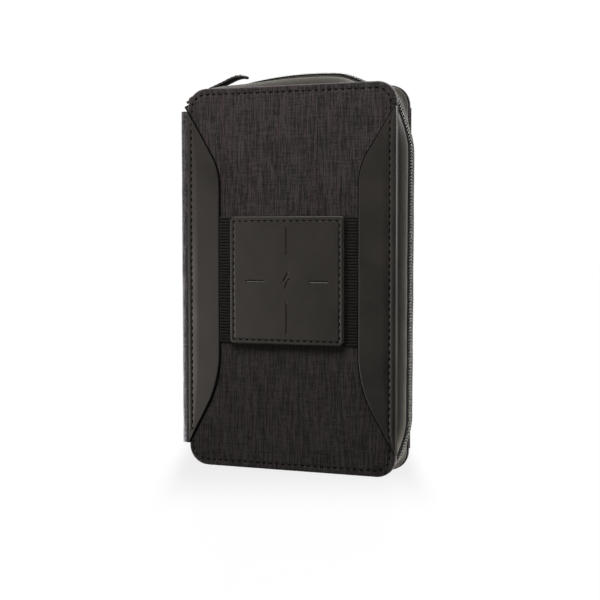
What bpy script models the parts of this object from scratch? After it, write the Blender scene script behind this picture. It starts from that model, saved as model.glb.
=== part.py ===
"""A zip-around travel document organizer with a power bank in its front cover.

The lengths below are in millimetres, and MM turns them into metres where geometry is made. The wallet
stands on its bottom edges: x runs across the covers, y from the front cover to the rear one, and z up. The
two covers are the same distance from the zip's middle plane, y = 0, and x = 0 is the middle of the covers.
An empty named organizer then moves everything so that the origin is at the bottom centre of the whole object.
"""

import math

import bmesh
import bpy
from mathutils import Matrix, Vector

MM = 0.001
GAP = 0.3  # between neighbouring layers

# Covers
COVER_WIDTH = 132.0
COVER_HEIGHT = 228.0
COVER_RADIUS = 12.0
FACE = 15.0  # from the zip's middle plane to a cover's outer face
LEATHER = 0.8
FABRIC = 0.6
BOARD = 1.2
LINING = 0.4
RIM_END = 11.0  # the fabric is turned over the board's edge as far as this |y|
BOARD_INSET = FABRIC + GAP

# Leather side panels: their inner edges run straight, then slant out to the corners of the cover
PANEL_LEFT = -45.1
PANEL_RIGHT = 43.5
PANEL_TOP_CORNER = 179.0
PANEL_BOTTOM_CORNER = 52.0
PANEL_TOP = 214.5
PANEL_BOTTOM = 13.5
PANEL_TOP_ROUNDING = 35.0
PANEL_BOTTOM_ROUNDING = 70.0

# Patch and elastic band
PATCH_X = -0.9
PATCH_Z = 113.3
PATCH_WIDTH = 72.5
PATCH_HEIGHT = 76.0
PATCH_RADIUS = 3.0
PATCH_FACE = 17.1
ELASTIC_HEIGHT = 76.0
ELASTIC = 0.5

# Spine
SPINE_TOP = 214.9
SPINE_BOTTOM = 12.8
SPINE_X = -72.3  # the spine's outermost point
SPINE_HALF_WIDTH = 10.8
FOLD_X = -72.6
FOLD_Y = 11.6

# Zip: the top run is one shallow arc, which the slider follows
ARC_RADIUS = 225.0
ARC_CENTRE_X, ARC_CENTRE_Z = 12.0, 9.9
TOP_END_ANGLE = 173.0  # where the zip's top end is, round the covers' upper left corner
SIDE_BULGE = 4.3  # the chain stands this far out of the covers' right side, halfway up
SIDE_SLANT = 0.9  # and this much further out at the top than at the bottom
CORNER_DIP = 3.9  # it is this far inside the covers' upper right corner
LOWER_DIP = 3.0
BOTTOM_INSET = 1.6
BOTTOM_END = 1.5  # the chain's lower end stands this far out of the covers' left side
ROLL_UNDER = 0.5  # the gusset's outer roll is this far under the chain
ROLL_UNDER_TOP = 1.2
ROLL_RAISE = (6.2, -64.0, 30.0)  # on the top run it rises over the chain: how much, where, and how wide
COIL_RADIUS = 1.0
COIL_Y = 1.45
STOP_REACH = 1.5  # from the end of a coil to the middle of its stop
STOP_HALF = (0.6, 0.9, 0.75)
TAPE = 0.5
TAPE_START, TAPE_END = 2.75, 5.0
GUSSET = 0.8
GUSSET_START, GUSSET_END = 5.8, 9.9

# Slider and pull, drawn at the middle of the arc and then turned to their place on it
SLIDER_X = -67.5
SLIDER_LENGTH = 9.0
SLIDER_HALF_WIDTH = 3.9
PLATE = 0.9
PLATE_OVER = 2.1  # from the chain's centre to the upper plate
PLATE_UNDER = 1.4
PULL_PIVOT = 3.65
LINK_WIRE = 0.45
LINK_REACH = 6.0
LINK_HALF_WIDTH = 2.3
TAB_HALF_WIDTH = 4.2
TAB = 2.0

# Power bank, in the front cover
BANK_WIDTH, BANK_HEIGHT, BANK_THICKNESS = 68.0, 140.0, 8.0
BANK_RADIUS = 8.0
BANK_BOTTOM = 44.0
BANK_FACE = -10.8
BANK_WALL = 0.9
BANK_SPLIT = -6.75
BUTTON_X, BUTTON_Z, BUTTON_RADIUS = 14.0, 175.0, 3.0
LENS_X, LENS_WIDTH, LENS_HEIGHT = -12.0, 10.0, 2.4
PORT_WIDTH, PORT_HEIGHT, PORT_DEPTH = 9.0, 3.2, 7.4
CHARGE_COIL_RADIUS, CHARGE_COIL_HOLE = 22.0, 10.0

# Inner pockets
POCKET = 0.4
POCKET_HALF_WIDTH = 60.0
CARD_SLOTS = 4
CARD_STEP = 13.0
COIN_LEFT, COIN_RIGHT = -59.0, 33.0
COIN_BOTTOM, COIN_TOP = 8.0, 92.0
COIN_PLANE = 7.6
COIN_COIL = 0.55
COIN_CHAIN = (COIN_TOP + 5.7, COIN_TOP + 7.0)  # the heights of the two halves of its zip's chain
COIN_CHAIN_MIDDLE = sum(COIN_CHAIN) / 2
COIN_TAPE_REACH = 5.7
COIN_TAPE_GAP = 0.85  # from the middle of a coil to its tape
COIN_SLIDER_X = -36.0
COIN_SLIDER_HALF = (3.2, 2.6)
COIN_PLATES = (0.85, 1.45)  # how far the slider's plates lie from the zip's plane
COIN_PIVOT = 2.3  # from the zip's plane to the pull's pivot
COIN_PULL = (2.4, 16.0)  # the pull's two ends, from its pivot
COIN_PULL_HALF = 2.0
PEN_X, PEN_Y, PEN_RADIUS = 49.0, 4.9, 5.0
PEN_BOTTOM, PEN_TOP = 112.0, 152.0

OBJECT_SHIFT = Vector((0.93, 1.05, 0.0))  # brings the middle of the whole object's box to x = y = 0

COLOURS = {
    "melange_fabric": ((0.048, 0.042, 0.042), 0.9, 0.0),
    "black_leather": ((0.030, 0.027, 0.025), 0.6, 0.0),
    "patch_leather": ((0.036, 0.031, 0.029), 0.55, 0.0),
    "elastic_webbing": ((0.016, 0.015, 0.014), 0.85, 0.0),
    "gusset_fabric": ((0.055, 0.050, 0.044), 0.9, 0.0),
    "zip_tape": ((0.010, 0.010, 0.010), 0.9, 0.0),
    "zip_coil": ((0.060, 0.060, 0.062), 0.4, 0.0),
    "gunmetal": ((0.120, 0.115, 0.110), 0.35, 0.9),
    "lining_cloth": ((0.075, 0.072, 0.070), 0.95, 0.0),
    "greyboard": ((0.250, 0.240, 0.220), 0.9, 0.0),
    "foam": ((0.030, 0.030, 0.030), 0.95, 0.0),
    "bank_plastic": ((0.020, 0.020, 0.021), 0.45, 0.0),
    "cell_wrap": ((0.450, 0.460, 0.470), 0.35, 0.3),
    "copper": ((0.600, 0.270, 0.120), 0.35, 1.0),
    "ferrite": ((0.050, 0.050, 0.052), 0.6, 0.0),
    "circuit_green": ((0.020, 0.110, 0.050), 0.5, 0.0),
    "steel": ((0.560, 0.560, 0.550), 0.3, 1.0),
    "lens_plastic": ((0.700, 0.710, 0.720), 0.25, 0.0),
}


def clear_scene():
    for obj in list(bpy.data.objects):
        bpy.data.objects.remove(obj, do_unlink=True)


def new_collection(name):
    collection = bpy.data.collections.new(name)
    bpy.context.scene.collection.children.link(collection)
    return collection


def make_material(name):
    colour, roughness, metallic = COLOURS[name]
    material = bpy.data.materials.new(name)
    material.use_nodes = True
    shader = material.node_tree.nodes["Principled BSDF"]
    shader.inputs["Base Color"].default_value = (*colour, 1.0)
    shader.inputs["Roughness"].default_value = roughness
    shader.inputs["Metallic"].default_value = metallic
    material.diffuse_color = (*colour, 1.0)
    return material


clear_scene()
PARTS = new_collection("travel_document_organizer")
CUTTERS = new_collection("cutters")
MATERIALS = {name: make_material(name) for name in COLOURS}


def new_empty(name, position, parent=None):
    """An empty at a position in the wallet's own frame."""
    empty = bpy.data.objects.new(name, None)
    empty.empty_display_size = 5 * MM
    PARTS.objects.link(empty)
    empty.location = Vector(position) * MM
    if parent:
        empty.parent = parent
        empty.location -= PIVOTS.get(parent.name, Vector()) * MM
    PIVOTS[name] = Vector(position)
    return empty


PIVOTS = {}
ORGANIZER = new_empty("organizer", (0, 0, 0))
ORGANIZER.location = OBJECT_SHIFT * MM


def place(obj, body, material):
    """Hangs a finished piece on its body's empty and gives it its material."""
    obj.parent = body
    obj.location -= PIVOTS[body.name] * MM
    obj.data.materials.clear()
    obj.data.materials.append(MATERIALS[material])
    return obj


def mesh_object(name, bm, collection=None):
    mesh = bpy.data.meshes.new(name)
    bm.to_mesh(mesh)
    bm.free()
    obj = bpy.data.objects.new(name, mesh)
    (collection or PARTS).objects.link(obj)
    return obj


def solidify(obj, thickness):
    """Grows an open surface into a wall, to the side that its faces turn away from."""
    wall = obj.modifiers.new("wall", "SOLIDIFY")
    wall.thickness = thickness * MM
    wall.offset = -1
    wall.use_even_offset = True


def bevel(obj, width, segments=2):
    edge = obj.modifiers.new("edge", "BEVEL")
    edge.width = width * MM
    edge.segments = segments


# Outlines, as points (x, z)


def arc(centre, radius, start, end, steps):
    """Points on an arc, with its angles in degrees from +x towards +z."""
    angles = [math.radians(start + (end - start) * i / steps) for i in range(steps + 1)]
    return [(centre[0] + radius * math.cos(a), centre[1] + radius * math.sin(a)) for a in angles]


def rounded_rectangle(low, high, radius, steps=6):
    """A rectangle's outline, anticlockwise from its lower right corner."""
    corners = (
        (high[0] - radius, low[1] + radius, -90),
        (high[0] - radius, high[1] - radius, 0),
        (low[0] + radius, high[1] - radius, 90),
        (low[0] + radius, low[1] + radius, 180),
    )
    points = []
    for x, z, start in corners:
        points += arc((x, z), radius, start, start + 90, steps)
    return points


def rounded_corner(before, corner, after, radius, steps=6):
    """The points that round one corner of an outline."""
    corner = Vector(corner)
    first = (Vector(before) - corner).normalized()
    second = (Vector(after) - corner).normalized()
    half = first.angle(second) / 2
    reach = radius / math.tan(half)
    centre = corner + (first + second).normalized() * radius / math.sin(half)
    start = corner + first * reach - centre
    end = corner + second * reach - centre
    points = []
    for i in range(steps + 1):
        ray = start.lerp(end, i / steps).normalized() * radius
        points.append(tuple(centre + ray))
    return points


def cover_outline(inset=0.0):
    half = COVER_WIDTH / 2 - inset
    return rounded_rectangle((-half, inset), (half, COVER_HEIGHT - inset), COVER_RADIUS - inset)


def leather_outline(edge, side):
    """A side panel: the cover's edge and corners outside, and the slanting edge inside."""
    half = COVER_WIDTH / 2
    ends = ((side * half, PANEL_TOP), (side * half, PANEL_BOTTOM))
    corners = ((edge, PANEL_TOP_CORNER), (edge, PANEL_BOTTOM_CORNER))
    points = [ends[0]]
    points += rounded_corner(ends[0], corners[0], corners[1], PANEL_TOP_ROUNDING)
    points += rounded_corner(corners[0], corners[1], ends[1], PANEL_BOTTOM_ROUNDING)
    points.append(ends[1])
    return points


# Shapes


def prism(name, outline, y_low, y_high, holes=()):
    """A flat piece: an outline in the plane of the covers, as thick as y_low to y_high."""
    curve = bpy.data.curves.new(name, "CURVE")
    curve.dimensions = "2D"
    curve.fill_mode = "BOTH"
    curve.extrude = (y_high - y_low) / 2 * MM
    for ring in (outline, *holes):
        spline = curve.splines.new("POLY")
        spline.points.add(len(ring) - 1)
        for point, (x, z) in zip(spline.points, ring):
            point.co = (x * MM, z * MM, 0, 1)
        spline.use_cyclic_u = True
    obj = bpy.data.objects.new(name, curve)
    PARTS.objects.link(obj)
    obj.rotation_euler = (math.pi / 2, 0, 0)
    obj.location = (0, (y_low + y_high) / 2 * MM, 0)
    return obj


def tray(name, outline, face, rim_end, wall, open_above=None):
    """A flat face with a rim round it that goes to rim_end; a rim edge above open_above is left out."""
    bm = bmesh.new()
    ring = [bm.verts.new((x * MM, face * MM, z * MM)) for x, z in outline]
    bm.faces.new(ring)
    rim = [e for e in bm.edges if open_above is None or min(v.co.z for v in e.verts) < open_above * MM]
    made = bmesh.ops.extrude_edge_only(bm, edges=rim)
    raised = [v for v in made["geom"] if isinstance(v, bmesh.types.BMVert)]
    bmesh.ops.translate(bm, verts=raised, vec=(0, (rim_end - face) * MM, 0))
    bmesh.ops.recalc_face_normals(bm, faces=bm.faces)
    flat = max(bm.faces, key=lambda f: f.calc_area())
    if flat.normal.y * (face - rim_end) < 0:
        bmesh.ops.reverse_faces(bm, faces=bm.faces)
    obj = mesh_object(name, bm)
    solidify(obj, wall)
    return obj


def block(name, low, high, collection=None):
    bm = bmesh.new()
    bmesh.ops.create_cube(bm, size=1)
    size = [(b - a) * MM for a, b in zip(low, high)]
    middle = [(a + b) / 2 * MM for a, b in zip(low, high)]
    bmesh.ops.scale(bm, verts=bm.verts, vec=size)
    obj = mesh_object(name, bm, collection)
    obj.location = middle
    return obj


def rod(name, radius, low, high, collection=None, segments=24):
    """A cylinder along y."""
    bm = bmesh.new()
    bmesh.ops.create_cone(
        bm,
        cap_ends=True,
        segments=segments,
        radius1=radius * MM,
        radius2=radius * MM,
        depth=(high[1] - low[1]) * MM,
    )
    bmesh.ops.rotate(bm, verts=bm.verts, matrix=Matrix.Rotation(math.pi / 2, 3, "X"))
    obj = mesh_object(name, bm, collection)
    obj.location = [(a + b) / 2 * MM for a, b in zip(low, high)]
    return obj


def cut(obj, cutter, operation="DIFFERENCE"):
    cutter.hide_render = True
    cutter.display_type = "WIRE"
    cutter.parent = ORGANIZER
    boolean = obj.modifiers.new("cut", "BOOLEAN")
    boolean.operation = operation
    boolean.object = cutter


def sheet_along(name, rows, wall):
    """An open surface through rows of points with Solidify: each row crosses the band."""
    bm = bmesh.new()
    grid = [[bm.verts.new(Vector(p) * MM) for p in row] for row in rows]
    for row, following in zip(grid, grid[1:]):
        for i in range(len(row) - 1):
            bm.faces.new((row[i], row[i + 1], following[i + 1], following[i]))
    obj = mesh_object(name, bm)
    solidify(obj, wall)
    return obj


def wire(name, points, radius, closed=False, resolution=1):
    curve = bpy.data.curves.new(name, "CURVE")
    curve.dimensions = "3D"
    curve.bevel_depth = radius * MM
    curve.bevel_resolution = resolution
    curve.use_fill_caps = not closed
    spline = curve.splines.new("POLY")
    spline.points.add(len(points) - 1)
    for point, position in zip(spline.points, points):
        point.co = (*(Vector(position) * MM), 1)
    spline.use_cyclic_u = closed
    obj = bpy.data.objects.new(name, curve)
    PARTS.objects.link(obj)
    return obj


# The path of the zip and its gusset, as stations along the edge of the covers


def arc_height(x):
    return ARC_CENTRE_Z + math.sqrt(ARC_RADIUS**2 - (x - ARC_CENTRE_X) ** 2)


def ray_to_arc(centre, direction):
    """How far from a point the top arc is, along a direction."""
    offset = Vector((centre[0] - ARC_CENTRE_X, centre[1] - ARC_CENTRE_Z))
    along = offset.dot(direction)
    return -along + math.sqrt(along**2 - offset.length_squared + ARC_RADIUS**2)


def fade(distance, reach):
    """1 at no distance, 0 from reach on."""
    return math.cos(math.pi / 2 * min(distance / reach, 1)) ** 2


def dipped(bulge, dip, distance, reach):
    return bulge - (bulge + dip) * fade(distance, reach)


def corner_stations(corner, start, end, steps, offset):
    """Stations round a corner: the outline's point, its normal, and the chain's offset there."""
    stations = []
    for i in range(steps + 1):
        angle = start + (end - start) * i / steps
        normal = Vector((math.cos(math.radians(angle)), math.sin(math.radians(angle))))
        stations.append((Vector(corner) + normal * COVER_RADIUS, normal, offset(normal, angle)))
    return stations


def side_stations(start, end, steps, normal, offset):
    """Stations along a straight side, without its two ends."""
    stations = []
    for i in range(1, steps):
        point = Vector(start).lerp(Vector(end), i / steps)
        stations.append((point, Vector(normal), offset(point)))
    return stations


def zip_stations():
    """The whole way from the top of the spine round the top, right and bottom to the spine's lower end."""
    half, top = COVER_WIDTH / 2, COVER_HEIGHT
    x, low, high = half - COVER_RADIUS, COVER_RADIUS, top - COVER_RADIUS
    quarter = math.pi / 4 * COVER_RADIUS  # from the middle of a corner to its end

    def top_left(normal, angle):
        return ray_to_arc((-x, high), normal) - COVER_RADIUS

    def along_top(point):
        return dipped(arc_height(point.x) - top, CORNER_DIP, x - point.x + quarter, 38)

    def side(z):
        return SIDE_BULGE + SIDE_SLANT * (z / top - 0.5)

    def top_right(normal, angle):
        along = (angle - 45) / 45 * quarter
        if along > 0:
            return dipped(arc_height(x) - top, CORNER_DIP, along, 38)
        return dipped(side(high), CORNER_DIP, -along, 38)

    def along_right(point):
        bulge = side(point.y)
        upper = fade(high - point.y + quarter, 38)
        lower = fade(point.y - low + quarter, 30)
        return bulge - (bulge + CORNER_DIP) * upper - (bulge + LOWER_DIP) * lower

    def bottom_right(normal, angle):
        along = (angle + 45) / 45 * quarter
        if along > 0:
            return dipped(side(low), LOWER_DIP, along, 30)
        return dipped(-BOTTOM_INSET, LOWER_DIP, -along, 20)

    def along_bottom(point):
        return dipped(-BOTTOM_INSET, LOWER_DIP, x - point.x + quarter, 20)

    def bottom_left(normal, angle):
        return -BOTTOM_INSET + (BOTTOM_END + BOTTOM_INSET) * fade(angle + 178, 88)

    stations = corner_stations((-x, high), TOP_END_ANGLE, 90, 9, top_left)
    stations += side_stations((-x, top), (x, top), 15, (0, 1), along_top)
    stations += corner_stations((x, high), 90, 0, 8, top_right)
    stations += side_stations((half, high), (half, low), 16, (1, 0), along_right)
    stations += corner_stations((x, low), 0, -90, 8, bottom_right)
    stations += side_stations((x, 0), (-x, 0), 9, (0, -1), along_bottom)
    stations += corner_stations((-x, low), -90, -178, 8, bottom_left)
    return stations


STATIONS = zip_stations()


def roll(station):
    """How far the gusset's outer roll stands out: under the chain, but over it on the way to the slider."""
    point, normal, offset = station
    if point.y < COVER_HEIGHT / 2 or normal.x > 0.1:
        return offset - ROLL_UNDER
    height, middle, width = ROLL_RAISE
    raised = height * math.exp(-(((point.x - middle) / width) ** 2)) * max(normal.y, 0) ** 4
    return offset - ROLL_UNDER_TOP + raised


def band_rows(section, side):
    """Rows of points across a band: section gives (|y|, offset) pairs for a station."""
    rows = []
    for station in STATIONS:
        point, normal, _ = station
        row = []
        for y, offset in section(station):
            flat = point + normal * offset
            row.append((flat.x, side * y, flat.y))
        rows.append(row if side > 0 else row[::-1])
    return rows


def gusset_section(station):
    bulge = roll(station)
    return (
        (GUSSET_START, station[2] + 0.25),
        (6.5, bulge),
        (7.7, bulge * 0.86 - 0.15),
        (9.0, bulge * 0.45 - 0.6),
        (GUSSET_END, -1.2),
    )


def tape_section(station):
    return ((TAPE_START, station[2] + TAPE / 2), (TAPE_END, station[2] + TAPE / 2))


def chain_points(y):
    points = []
    for point, normal, offset in STATIONS[1:-1]:
        flat = point + normal * offset
        points.append((flat.x, y, flat.y))
    return points


def make_zip_half(side, name, body):
    """One half of the zip: its gusset, tape, coil and the stops at the two ends of the coil."""
    place(sheet_along(f"{name}_gusset", band_rows(gusset_section, side), GUSSET), body, "gusset_fabric")
    place(sheet_along(f"{name}_zip_tape", band_rows(tape_section, side), TAPE), body, "zip_tape")
    points = chain_points(side * COIL_Y)
    place(wire(f"{name}_zip_coil", points, COIL_RADIUS), body, "zip_coil")
    for end, near, before in (("top", points[0], points[1]), ("bottom", points[-1], points[-2])):
        along = (Vector(near) - Vector(before)).normalized()
        centre = Vector(near) + along * STOP_REACH
        low, high = (centre + Vector(STOP_HALF) * sign for sign in (-1, 1))
        stop = block(f"{name}_zip_stop_{end}", low, high)
        bevel(stop, 0.25, 1)
        place(stop, body, "gunmetal")


# Sub-assemblies


def make_cover(side, name, body):
    """A cover's layers from the outside in: leather side panels, fabric turned over a board, and lining."""
    y = FACE - LEATHER - GAP
    skin = tray(f"{name}_fabric_skin", cover_outline(), side * y, side * RIM_END, FABRIC)
    place(skin, body, "melange_fabric")
    for part, edge, direction in (("left", PANEL_LEFT, -1), ("right", PANEL_RIGHT, 1)):
        near, far = sorted((side * FACE, side * (FACE - LEATHER)))
        panel = prism(f"{name}_leather_{part}", leather_outline(edge, direction), near, far)
        place(panel, body, "black_leather")
    y -= FABRIC + GAP
    low, high = sorted((side * y, side * (y - BOARD)))
    place(prism(f"{name}_board", cover_outline(BOARD_INSET), low, high), body, "greyboard")
    y -= BOARD + GAP
    low, high = sorted((side * y, side * (y - LINING)))
    place(prism(f"{name}_lining", cover_outline(BOARD_INSET), low, high), body, "lining_cloth")


def make_spine(spine, front, rear):
    """The fabric spine with its stiffener and lining, and the strips that join it to the two covers."""
    heights = (SPINE_BOTTOM, SPINE_TOP)
    half = SPINE_HALF_WIDTH
    section = [(SPINE_X + 1.1 * (abs(y) / half) ** 3, y) for y in (-half, -8, -4, 0, 4, 8, half)]
    rows = [[(x, y, z) for x, y in section] for z in heights]
    place(sheet_along("spine_fabric", rows, 0.7), spine, "melange_fabric")
    low, high = (SPINE_X + 1.0, -7.0, SPINE_BOTTOM + 3), (SPINE_X + 2.0, 7.0, SPINE_TOP - 3)
    place(block("spine_stiffener", low, high), spine, "greyboard")
    low, high = (SPINE_X + 2.3, -9.0, SPINE_BOTTOM + 1), (SPINE_X + 2.7, 9.0, SPINE_TOP - 1)
    place(block("spine_lining", low, high), spine, "lining_cloth")
    for side, name, body in ((-1, "front_spine_strip", front), (1, "rear_spine_strip", rear)):
        section = [(-66.4, 12.9), (-68.6, 12.9), (-70.4, 12.5), (-71.8, 11.8)]
        rows = [[(x, side * y, z) for x, y in section] for z in heights[::side]]
        place(sheet_along(name, rows, 0.7), body, "melange_fabric")


def make_patch(body, cover):
    """The leather patch on its elastic band. The band's two free stretches end at the leather panels."""
    low = Vector((PATCH_X - PATCH_WIDTH / 2, PATCH_Z - PATCH_HEIGHT / 2))
    high = Vector((PATCH_X + PATCH_WIDTH / 2, PATCH_Z + PATCH_HEIGHT / 2))
    inner = Vector((1.2, 1.2))
    outline = rounded_rectangle(low, high, PATCH_RADIUS)
    smaller = rounded_rectangle(low + inner, high - inner, PATCH_RADIUS - 1.2)
    place(tray("patch_leather", outline, -PATCH_FACE, -PATCH_FACE + 1.5, 0.7), body, "patch_leather")
    place(prism("patch_padding", smaller, -PATCH_FACE + 1.0, -PATCH_FACE + 1.6), body, "foam")
    place(prism("patch_backing", outline, -15.2, -14.95), body, "black_leather")
    y_low, y_high = -14.7, -14.7 + ELASTIC
    bottom, top = PATCH_Z - ELASTIC_HEIGHT / 2 + 0.2, PATCH_Z + ELASTIC_HEIGHT / 2 - 0.2
    stretches = (
        ("elastic_band_left", PANEL_LEFT + GAP, low.x - GAP, cover),
        ("elastic_band_middle", low.x, high.x, body),
        ("elastic_band_right", high.x + GAP, PANEL_RIGHT - GAP, cover),
    )
    for name, start, end, rides_on in stretches:
        strip = block(name, (start, y_low, bottom), (end, y_high, top))
        place(strip, rides_on, "elastic_webbing")


def make_power_bank(body, button_body):
    """Two plastic shells around the charging coil, its ferrite, the cell and the circuit board."""
    low = Vector((PATCH_X - BANK_WIDTH / 2, BANK_BOTTOM))
    high = low + Vector((BANK_WIDTH, BANK_HEIGHT))
    outline = rounded_rectangle(low, high, BANK_RADIUS)
    inner_face = BANK_FACE + BANK_THICKNESS
    shell = tray("bank_outer_shell", outline, BANK_FACE, BANK_SPLIT - GAP / 2, BANK_WALL)
    lid = tray("bank_inner_shell", outline, inner_face, BANK_SPLIT + GAP / 2, BANK_WALL)
    ceiling = inner_face - BANK_WALL

    board_y = BANK_FACE + 2.2
    port_low = (PATCH_X - PORT_WIDTH / 2, board_y + 1.3, high.y - PORT_DEPTH)
    port_high = (PATCH_X + PORT_WIDTH / 2, board_y + 1.3 + PORT_HEIGHT, high.y)
    margin = Vector((GAP, GAP, 0))
    notch_low = Vector(port_low) - margin
    notch_high = Vector(port_high) + margin + Vector((0, 0, 2))
    for piece, name in ((shell, "port_cutter_outer"), (lid, "port_cutter_inner")):
        cut(piece, block(name, notch_low, notch_high, CUTTERS))
    middle = (BUTTON_X, BUTTON_Z)
    hole_low = (middle[0], ceiling - 1, middle[1])
    hole_high = (middle[0], inner_face + 1, middle[1])
    cut(lid, rod("button_cutter", BUTTON_RADIUS + GAP, hole_low, hole_high, CUTTERS))
    lens_low = (LENS_X - LENS_WIDTH / 2, ceiling - 0.2, BUTTON_Z - LENS_HEIGHT / 2)
    lens_high = (LENS_X + LENS_WIDTH / 2, inner_face + 0.1, BUTTON_Z + LENS_HEIGHT / 2)
    grow = Vector((GAP, 1, GAP))
    cut(lid, block("lens_cutter", Vector(lens_low) - grow, Vector(lens_high) + grow, CUTTERS))
    place(shell, body, "bank_plastic")
    place(lid, body, "bank_plastic")
    lens = block("indicator_lens", lens_low, lens_high)
    bevel(lens, 0.3)
    place(lens, body, "lens_plastic")

    y = BANK_FACE + BANK_WALL + GAP
    coil_centre = (PATCH_X, PATCH_Z)
    outer = arc(coil_centre, CHARGE_COIL_RADIUS, 0, 360, 40)[:-1]
    inner = arc(coil_centre, CHARGE_COIL_HOLE, 0, 360, 24)[:-1]
    place(prism("charging_coil", outer, y, y + 0.7, [inner]), body, "copper")
    y += 0.7 + GAP
    half = CHARGE_COIL_RADIUS + 3
    square = rounded_rectangle(
        (PATCH_X - half, PATCH_Z - half), (PATCH_X + half, PATCH_Z + half), 4, 3
    )
    place(prism("ferrite_sheet", square, y, y + 0.4), body, "ferrite")
    y += 0.4 + GAP
    cell = rounded_rectangle((low.x + 4, low.y + 5), (high.x - 4, high.y - 30), 2, 3)
    place(prism("battery_cell", cell, y, y + 3.6), body, "cell_wrap")

    board_low = (low.x + 7, board_y, high.y - 26)
    board_high = (high.x - 7, board_y + 1.0, high.y - 2.5)
    place(block("circuit_board", board_low, board_high), body, "circuit_green")
    port = block("usb_port", port_low, port_high)
    bevel(port, 0.8)
    throat_low = (port_low[0] + 0.35, port_low[1] + 0.35, port_low[2] + 1.2)
    throat_high = (port_high[0] - 0.35, port_high[1] - 0.35, port_high[2] + 1)
    cut(port, block("throat_cutter", throat_low, throat_high, CUTTERS))
    place(port, body, "steel")
    switch_low = (BUTTON_X - 2.6, board_y + 1.3, BUTTON_Z - 2.6)
    switch_high = (BUTTON_X + 2.6, ceiling - 1.35, BUTTON_Z + 2.6)
    place(block("button_switch", switch_low, switch_high), body, "bank_plastic")

    place(make_button(ceiling, inner_face), button_body, "bank_plastic")


def make_button(ceiling, face):
    """A turned cap with a flange behind the shell, its axis along y."""
    flange = BUTTON_RADIUS + 0.8
    profile = (
        (0, face + 0.5),
        (BUTTON_RADIUS - 0.3, face + 0.5),
        (BUTTON_RADIUS, face + 0.2),
        (BUTTON_RADIUS, ceiling - GAP),
        (flange, ceiling - GAP),
        (flange, ceiling - 2 * GAP),
        (0, ceiling - 2 * GAP),
    )
    bm = bmesh.new()
    verts = [bm.verts.new((r * MM, 0, y * MM)) for r, y in profile]
    for first, second in zip(verts, verts[1:]):
        bm.edges.new((first, second))
    obj = mesh_object("power_button", bm)
    turn = obj.modifiers.new("turn", "SCREW")
    turn.steps = turn.render_steps = 28
    turn.use_merge_vertices = True
    turn.merge_threshold = 1e-5
    obj.rotation_euler = (-math.pi / 2, 0, 0)
    obj.location = (BUTTON_X * MM, 0, BUTTON_Z * MM)
    return obj


def make_front_pockets(body):
    """A pocket that holds the power bank, and in front of it a wide one for passports."""
    low = (PATCH_X - BANK_WIDTH / 2 - 1.3, BANK_BOTTOM - 2)
    high = (PATCH_X + BANK_WIDTH / 2 + 1.3, BANK_BOTTOM + BANK_HEIGHT - 16)
    face = BANK_FACE + BANK_THICKNESS + GAP + POCKET
    outline = [(high[0], low[1]), high, (low[0], high[1]), low]
    rim_end = -RIM_END + 0.2
    pocket = tray("power_bank_pocket", outline, face, rim_end, POCKET, open_above=high[1] - 1)
    place(pocket, body, "lining_cloth")
    half = POCKET_HALF_WIDTH
    face += GAP + POCKET
    outline = [(half, 7), (half, 128), (-half, 128), (-half, 7)]
    pocket = tray("passport_pocket", outline, face, rim_end, POCKET, open_above=127)
    place(pocket, body, "lining_cloth")


def make_rear_pockets(body):
    """Boarding pass pocket, stepped card slots and a pen loop."""
    half = POCKET_HALF_WIDTH
    y = RIM_END - GAP - POCKET
    outline = rounded_rectangle((-half, 6), (half, 208), 3, 3)
    place(prism("boarding_pass_pocket", outline, y, y + POCKET), body, "lining_cloth")
    for i in range(CARD_SLOTS):
        y -= GAP + POCKET
        top = 202 - i * CARD_STEP
        outline = rounded_rectangle((-half, 112 - i), (34, top), 2, 3)
        place(prism(f"card_slot_{i + 1}", outline, y, y + POCKET), body, "lining_cloth")
    ring = arc((PEN_X, PEN_Y), PEN_RADIUS, 0, 360, 20)
    rows = [[(x, y, z) for x, y in ring] for z in (PEN_BOTTOM, PEN_TOP)]
    loop = sheet_along("pen_loop", rows, POCKET)
    weld = loop.modifiers.new("weld", "WELD")
    weld.merge_threshold = 1e-5
    loop.modifiers.move(1, 0)
    place(loop, body, "elastic_webbing")


def make_coin_pocket(body, slider_body, pull_body):
    """A zipped pouch for coins at the bottom of the rear cover."""
    left, right, plane = COIN_LEFT, COIN_RIGHT, COIN_PLANE
    rim_end = RIM_END - 2 * GAP - POCKET
    outline = [(right, COIN_BOTTOM), (right, COIN_TOP), (left, COIN_TOP), (left, COIN_BOTTOM)]
    pouch = tray("coin_pouch", outline, plane - POCKET / 2, rim_end, POCKET, open_above=COIN_TOP - 1)
    place(pouch, body, "lining_cloth")
    lower, upper = COIN_CHAIN
    tapes = (
        ("coin_zip_tape_lower", COIN_TOP + GAP, lower - COIN_TAPE_GAP),
        ("coin_zip_tape_upper", upper + COIN_TAPE_GAP, upper + COIN_TAPE_REACH),
    )
    for name, start, end in tapes:
        tape = block(name, (left, plane - POCKET / 2, start), (right, plane + POCKET / 2, end))
        place(tape, body, "zip_tape")
    for name, z in (("coin_zip_coil_lower", lower), ("coin_zip_coil_upper", upper)):
        points = [(left + 1, plane, z), (right - 1, plane, z)]
        place(wire(name, points, COIN_COIL), body, "zip_coil")
    place(make_coin_slider(), slider_body, "gunmetal")
    start, end = (COIN_SLIDER_X + reach for reach in COIN_PULL)
    pull_y = plane - COIN_PIVOT
    low = (start, pull_y - 0.5, COIN_CHAIN_MIDDLE - COIN_PULL_HALF)
    high = (end, pull_y + 0.3, COIN_CHAIN_MIDDLE + COIN_PULL_HALF)
    tab = block("coin_zip_pull", low, high)
    bevel(tab, 0.25, 1)
    place(tab, pull_body, "gunmetal")


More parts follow.
